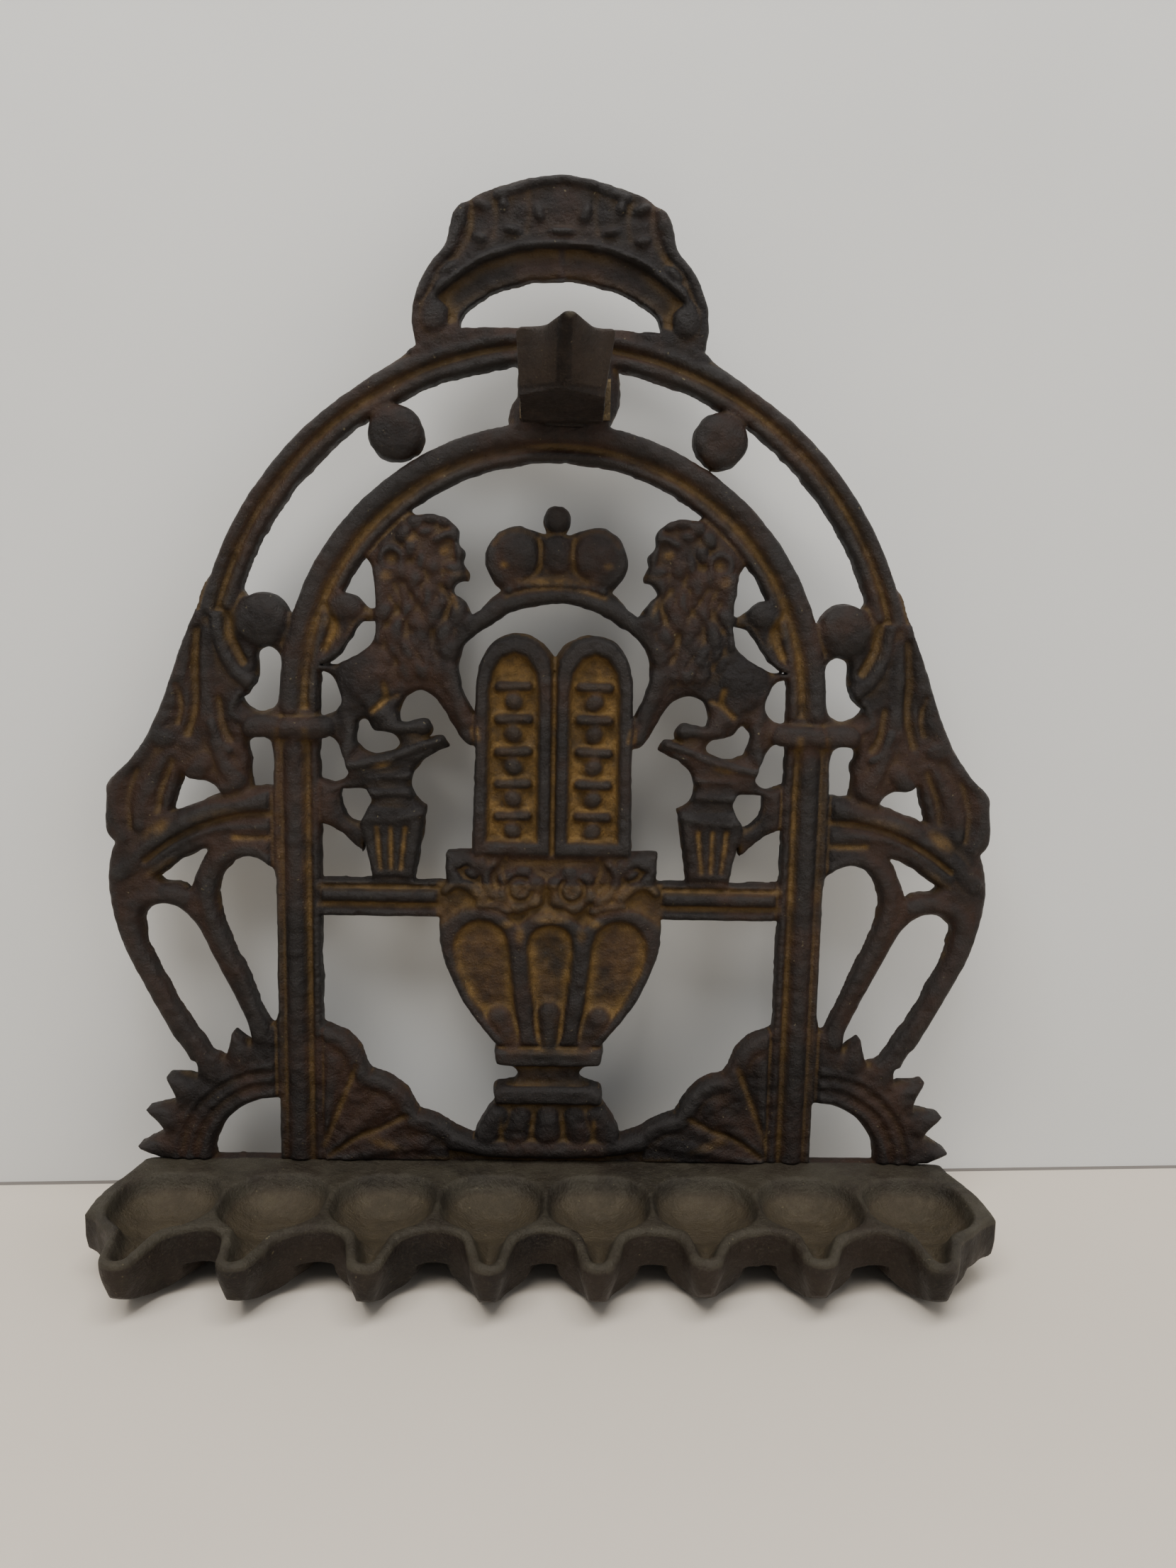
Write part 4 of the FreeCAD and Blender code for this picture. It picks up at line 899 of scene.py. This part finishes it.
def build_servant(material):
    """The lift-off lamp: a deep pan with a ship's bow under its spout and a hook behind."""
    margin = 2 * SERVANT_STEP
    low, high = SERVANT_LOW, SERVANT_HIGH
    r = Relief((low[0] - margin, low[1] - margin), (high[0] + margin, high[1] + margin),
               SERVANT_STEP, high[2])
    x, y = r.u, r.v
    middle = (low[0] + high[0]) / 2
    top, foot = high[2], low[2]
    pan_back = high[1] - 5.7
    half = (high[0] - low[0]) / 2
    corner_y, nose_y, break_level = low[1] + 15.0, low[1] + 1.0, foot + 4.6

    def bow(level):
        """Distance inside the pan at one height: the walls lean in and back as they go down."""
        down = np.clip((top - level) / (top - break_level), 0, 1)
        side = half - 1.2 * down
        centre = middle - 0.7 * down
        nose = (middle + 0.6 - 1.6 * down, nose_y + 16.5 * down ** 0.9)
        shoulder_y = corner_y + 7.5 * down
        length = math.hypot(side, shoulder_y - nose[1])
        along, across = side / length, (shoulder_y - nose[1]) / length
        keel_half = 1.2 * down
        wedge = (y - nose[1]) * along - np.maximum(abs(x - nose[0]), keel_half) * across
        lip_tip = (nose[0], min(nose[1] + 2.0, shoulder_y - 6))
        lip = pear(x, y, (nose[0], shoulder_y), 6.0, lip_tip, 2.0)
        flared = soft_max(lip, y - shoulder_y + 2.5 * (1 - abs(x - nose[0]) / side), 2.0)
        flare = (1 - down) ** 2
        front = wedge * (1 - flare) + flared * flare
        foot_front = nose[1] + 18.0 * ease((break_level - level) / (break_level - foot))
        return np.minimum(np.minimum(side - abs(x - centre), pan_back - y),
                          np.minimum(front, y - foot_front))

    rim = bow(top)
    well = bow(top - 3.0) - 1.8
    basin = bow(top - 10.0) - 2.4
    upper = top - 1.2 * (1 - dome(1 - np.clip(rim / 1.2, 0, 1)))
    floor = top - 2.4 * np.sqrt(np.clip(well / 1.5, 0, 1)) - 6.2 * np.sqrt(np.clip(basin / 4, 0, 1))
    upper = np.where(well > 0, floor, upper)
    upper = blurred(upper, 1, 1) + 0.12 * rumple(x.shape, SERVANT_STEP, 4.0, 21)
    upper = np.minimum(upper, top)
    swell = 0.18 * rumple(x.shape, SERVANT_STEP, 3.5, 22)

    hook_half = 5.0
    bridge = np.minimum(hook_half - abs(x - middle), np.minimum(high[1] - y, y - (pan_back - 1.5)))
    tongue = np.minimum(hook_half - abs(x - middle), np.minimum(high[1] - y, y - (high[1] - 2.0)))
    heights = np.arange(foot - 0.8, top + 1.0, SERVANT_STEP)
    levels = heights[None, None, :]
    walls = np.stack([bow(level) for level in heights], axis=2) + swell[:, :, None]
    pan = np.minimum(np.minimum(walls, pan_back - y[:, :, None]),
                     np.minimum(upper[:, :, None] - levels, levels - foot))
    hook = np.minimum(np.minimum(bridge[:, :, None], top - levels), levels - (top - 4.9))
    tail = np.minimum(np.minimum(tongue[:, :, None], top - levels), levels - foot)
    field = np.maximum(pan, np.maximum(hook, tail))
    vertices, quads = surface_nets(field.astype(np.float32), (r.low[0], r.low[1], heights[0]),
                                   (SERVANT_STEP,) * 3)
    inner, high_side = well_and_rim(r, vertices, well, upper, 2.0)
    # Painted highlight: a pale spot round the nib at the tip of the spout, added to the pan interior
    # colour below.
    from_nib = np.linalg.norm(vertices - np.array([middle + 0.9, nose_y, top - 1.6]), axis=1)
    # Painted light and shade: faces away from the keel strip and above the break get a negative recess,
    # which paints them lighter, leaving the keel strip and the underside darker as painted shade.
    from_keel = abs(vertices[:, 0] - middle + 0.4)
    painted_lit_faces = ease((from_keel - 1.3) / 0.9) * ease((vertices[:, 2] - break_level) / 1.5)
    attributes = {"recess": -0.8 * painted_lit_faces, "gold": np.zeros(len(vertices)),
                  "bowl_and_nib_highlight": np.maximum(inner * high_side, ease(2.0 - from_nib / 1.2))}
    piece = make_piece("cast_servant_lamp", vertices, quads, attributes, material)
    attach(piece, "servant")
    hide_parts("servant_lamp")


# ---- Materials ----

class Nodes:
    """Short calls for building one material's node tree."""

    def __init__(self, name):
        self.material = bpy.data.materials.new(name)
        self.material.use_nodes = True
        self.tree = self.material.node_tree
        self.shader = self.tree.nodes["Principled BSDF"]
        self.place = self.add("ShaderNodeTexCoord").outputs["Object"]

    def add(self, kind, **settings):
        node = self.tree.nodes.new(kind)
        for key, value in settings.items():
            setattr(node, key, value)
        return node

    def link(self, source, socket):
        self.tree.links.new(source, socket)

    def feed(self, socket, value):
        if isinstance(value, (int, float, tuple)):
            socket.default_value = value
        else:
            self.link(value, socket)

    def noise(self, scale, detail, roughness=0.55):
        node = self.add("ShaderNodeTexNoise")
        node.inputs["Scale"].default_value = scale
        node.inputs["Detail"].default_value = detail
        node.inputs["Roughness"].default_value = roughness
        self.link(self.place, node.inputs["Vector"])
        return node.outputs["Fac"]

    def math(self, operation, a, b):
        node = self.add("ShaderNodeMath", operation=operation)
        self.feed(node.inputs[0], a)
        self.feed(node.inputs[1], b)
        return node.outputs[0]

    def times(self, a, b):
        return self.math("MULTIPLY", a, b)

    def span(self, value, low, high, to_low=0.0, to_high=1.0):
        node = self.add("ShaderNodeMapRange", interpolation_type="SMOOTHSTEP")
        self.feed(node.inputs["Value"], value)
        limits = {"From Min": low, "From Max": high, "To Min": to_low, "To Max": to_high}
        for key, number in limits.items():
            node.inputs[key].default_value = number
        return node.outputs["Result"]

    def mix(self, amount, a, b):
        node = self.add("ShaderNodeMix", data_type="RGBA")
        self.feed(node.inputs["Factor"], amount)
        self.feed(node.inputs["A"], a)
        self.feed(node.inputs["B"], b)
        return node.outputs["Result"]

    def attribute(self, name):
        return self.add("ShaderNodeAttribute", attribute_name=name).outputs["Fac"]

    def bump(self, height, distance, strength=1.0, under=None):
        node = self.add("ShaderNodeBump")
        node.inputs["Strength"].default_value = strength
        node.inputs["Distance"].default_value = distance
        self.link(height, node.inputs["Height"])
        if under is not None:
            self.link(under, node.inputs["Normal"])
        return node.outputs["Normal"]


def colour(red, green, blue):
    """A linear colour from 0-255 display values."""
    values = [c / 255 for c in (red, green, blue)]
    linear = [c / 12.92 if c <= 0.04045 else ((c + 0.055) / 1.055) ** 2.4 for c in values]
    return tuple(linear + [1.0])


def scaled(shade, amount):
    """A colour made lighter or darker."""
    return tuple(c * amount for c in shade[:3]) + (1.0,)


def patina_brass(name, dark, mid, worn_and_painted_light, gilt, bowl_and_nib_highlight=None, gold_gain=1.0):
    """Aged brass: a mottled dark skin, high places lighter from wear and ochre metal left in the hollows;
    a negative recess, which the row and the servant lamp set on their lit faces, paints those faces
    lighter as painted light, and the pan interior colour also carries a painted highlight on the servant
    lamp's nib.
    """
    n = Nodes(name)
    recess, gold = n.attribute("recess"), n.attribute("gold")
    blotch = n.noise(38.0, 5.0, 0.6)
    mottle = n.noise(210.0, 5.0, 0.65)
    grain = n.noise(1500.0, 3.0, 0.6)
    skin = n.mix(n.span(blotch, 0.38, 0.60), dark, mid)
    skin = n.mix(n.times(n.span(mottle, 0.5, 0.72), 0.35), skin, worn_and_painted_light)
    # High places get the lighter colour here; on the row and the servant lamp the negative recess marks
    # faces painted lighter as painted light.
    raised_and_painted_lit_faces = n.span(n.times(recess, -1.0), 0.08, 0.6)
    rubbed_and_painted_light = n.times(raised_and_painted_lit_faces, n.span(n.noise(90.0, 4.0, 0.6), 0.3, 0.62, 0.25, 0.85))
    skin = n.mix(rubbed_and_painted_light, skin, worn_and_painted_light)
    ochre = scaled(gilt, 0.33)
    cloud = n.span(n.noise(60.0, 4.0, 0.6), 0.3, 0.6, 0.15, 0.8)
    brown = n.times(n.span(recess, 0.0, 0.9), cloud)
    skin = n.mix(brown, skin, ochre)
    hollow = n.times(n.span(recess, 0.6, 1.8), 0.12)
    depth = n.math("MAXIMUM", hollow, n.times(gold, gold_gain))
    patchy = n.times(depth, n.span(n.noise(150.0, 5.0, 0.65), 0.3, 0.62, 0.2, 0.95))
    metal = n.mix(n.span(mottle, 0.35, 0.68), gilt, scaled(gilt, 0.5))
    skin = n.mix(patchy, skin, metal)
    # On the servant lamp this colour also carries a painted highlight on the nib.
    if bowl_and_nib_highlight is not None:
        inner = n.attribute("bowl_and_nib_highlight")
        skin = n.mix(n.times(inner, n.span(mottle, 0.2, 0.75, 0.95, 0.5)), skin, bowl_and_nib_highlight)
    skin = n.mix(n.times(n.span(grain, 0.52, 0.72), 0.3), skin, scaled(worn_and_painted_light, 1.5))
    speck = n.span(n.noise(900.0, 2.0, 0.5), 0.72, 0.77)
    skin = n.mix(n.times(speck, 0.35), skin, colour(130, 120, 90))
    n.link(skin, n.shader.inputs["Base Color"])
    n.link(n.span(patchy, 0.0, 1.0, 0.15, 0.55), n.shader.inputs["Metallic"])
    n.link(n.span(mottle, 0.3, 0.7, 0.40, 0.62), n.shader.inputs["Roughness"])
    n.shader.inputs["Specular IOR Level"].default_value = 0.24
    pits = n.bump(n.noise(380.0, 7.0, 0.72), 0.0009, 0.85)
    pits = n.bump(grain, 0.0003, 0.7, pits)
    n.link(pits, n.shader.inputs["Normal"])
    return n.material


def plain_material(name, shade, roughness):
    n = Nodes(name)
    tone = n.mix(n.span(n.noise(9.0, 3.0), 0.35, 0.7), shade, scaled(shade, 0.97))
    n.link(tone, n.shader.inputs["Base Color"])
    n.shader.inputs["Roughness"].default_value = roughness
    return n.material


# ---- Stage, light and camera ----

def one_sided(material):
    """Lets the wall be seen only from the lamp's side, so that it hides nothing from behind."""
    tree = material.node_tree
    output = next(node for node in tree.nodes if node.type == "OUTPUT_MATERIAL")
    front = output.inputs["Surface"].links[0].from_socket
    side = tree.nodes.new("ShaderNodeNewGeometry").outputs["Backfacing"]
    clear = tree.nodes.new("ShaderNodeBsdfTransparent")
    mix = tree.nodes.new("ShaderNodeMixShader")
    tree.links.new(side, mix.inputs[0])
    tree.links.new(front, mix.inputs[1])
    tree.links.new(clear.outputs["BSDF"], mix.inputs[2])
    tree.links.new(mix.outputs["Shader"], output.inputs["Surface"])
    return material


def build_backdrop():
    """A pale floor and a pale wall close behind the lamp, with a thin dark strip where they meet that is a
    painted contact shadow.
    """
    wall_y, slant, shadow_strip, reach = cad_box[1][1] + 0.0205, 0.047, 0.0007, 1.2
    profile = [(-reach, 0.0), (wall_y - shadow_strip, 0.0), (wall_y, shadow_strip), (wall_y, reach)]
    vertices = [(side * reach, y + (slant * side * reach if y > 0 else 0.0), z)
                for y, z in profile for side in (-1, 1)]
    faces = [(2 * i, 2 * i + 1, 2 * i + 3, 2 * i + 2) for i in range(len(profile) - 1)]
    mesh = bpy.data.meshes.new("backdrop")
    mesh.from_pydata(vertices, [], faces)
    mesh.materials.append(plain_material("floor_paper", colour(208, 197, 182), 0.85))
    # Painted shadow: the narrow turn between floor and wall gets a dark colour as a contact shadow.
    mesh.materials.append(one_sided(plain_material("seam_shadow", colour(112, 106, 100), 0.9)))
    mesh.materials.append(one_sided(plain_material("wall_paper", colour(209, 208, 204), 0.85)))
    for index, face in enumerate(mesh.polygons):
        face.material_index = index
    backdrop = bpy.data.objects.new("backdrop", mesh)
    bpy.context.scene.collection.objects.link(backdrop)


def add_light(name, place, target, size, power, tint=(1.0, 1.0, 1.0)):
    light = bpy.data.lights.new(name, "AREA")
    light.shape = "RECTANGLE"
    light.size, light.size_y = size
    light.energy = power
    light.color = tint
    item = bpy.data.objects.new(name, light)
    item.location = place
    item.rotation_euler = (Vector(target) - Vector(place)).to_track_quat("-Z", "Y").to_euler()
    bpy.context.scene.collection.objects.link(item)


def light_scene():
    middle = (0, 0, 0.13)
    add_light("key", (-0.25, -0.65, 1.05), middle, (0.7, 0.5), 11.5, (1.0, 0.99, 0.97))
    add_light("fill", (0.85, -0.7, 0.45), middle, (0.9, 0.9), 4.0, (0.96, 0.98, 1.0))
    add_light("top", (0.12, -0.35, 1.25), middle, (0.6, 0.3), 7.0)
    world = bpy.data.worlds.new("studio")
    world.use_nodes = True
    world.node_tree.nodes["Background"].inputs["Color"].default_value = (0.92, 0.95, 1.0, 1.0)
    world.node_tree.nodes["Background"].inputs["Strength"].default_value = 0.38
    bpy.context.scene.world = world


def place_camera():
    """Close in front and a little above the tablets, tipped down, with a slight roll."""
    pitch, yaw, roll = (math.radians(a) for a in (8.0, 1.5, 1.2))
    right = Vector((math.cos(yaw), -math.sin(yaw), 0))
    level, rise = math.cos(pitch), math.sin(pitch)
    ahead = Vector((math.sin(yaw) * level, math.cos(yaw) * level, -rise))
    down = Vector((-math.sin(yaw) * rise, -math.cos(yaw) * rise, -level))
    turned_right = math.cos(roll) * right - math.sin(roll) * down
    turned_down = math.sin(roll) * right + math.cos(roll) * down
    plate_front = (BACK_Y - 6.5) * MM
    place = Vector((0.0015, plate_front - 0.2972, 0.13975 + FOOT_LINE * MM))
    camera_data = bpy.data.cameras.new("camera")
    camera_data.lens = 26.0
    camera_data.sensor_width = 36.0
    camera_data.clip_start = 0.01
    camera = bpy.data.objects.new("camera", camera_data)
    axes = Matrix((turned_right, -turned_down, -ahead)).transposed()
    camera.matrix_world = Matrix.Translation(place) @ axes.to_4x4()
    bpy.context.scene.collection.objects.link(camera)
    bpy.context.scene.camera = camera


def finish_fasteners():
    metal = patina_brass("fastener_metal", colour(70, 58, 40), colour(95, 80, 54),
                         colour(140, 122, 84), colour(150, 122, 62))
    for name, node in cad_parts.items():
        if name.startswith(("row_screw", "strap_rivet")) or name == "servant_strap":
            for slot in node.material_slots:
                slot.material = metal


place_camera()
plate_metal = patina_brass("plate_patina", colour(22, 17, 15), colour(48, 32, 23), colour(38, 35, 33),
                           colour(124, 97, 55), gold_gain=0.9)
row_metal = patina_brass("row_patina_and_painted_light", colour(25, 19, 15), colour(40, 31, 24), colour(62, 57, 46),
                         colour(80, 70, 52), bowl_and_nib_highlight=colour(76, 67, 51))
servant_metal = patina_brass("servant_patina_and_painted_light", colour(22, 17, 15), colour(35, 28, 24),
                             colour(56, 47, 40), colour(90, 78, 56), bowl_and_nib_highlight=colour(110, 106, 94))
build_backplate(plate_metal)
build_row(row_metal)
build_servant(servant_metal)
finish_fasteners()
build_backdrop()
light_scene()
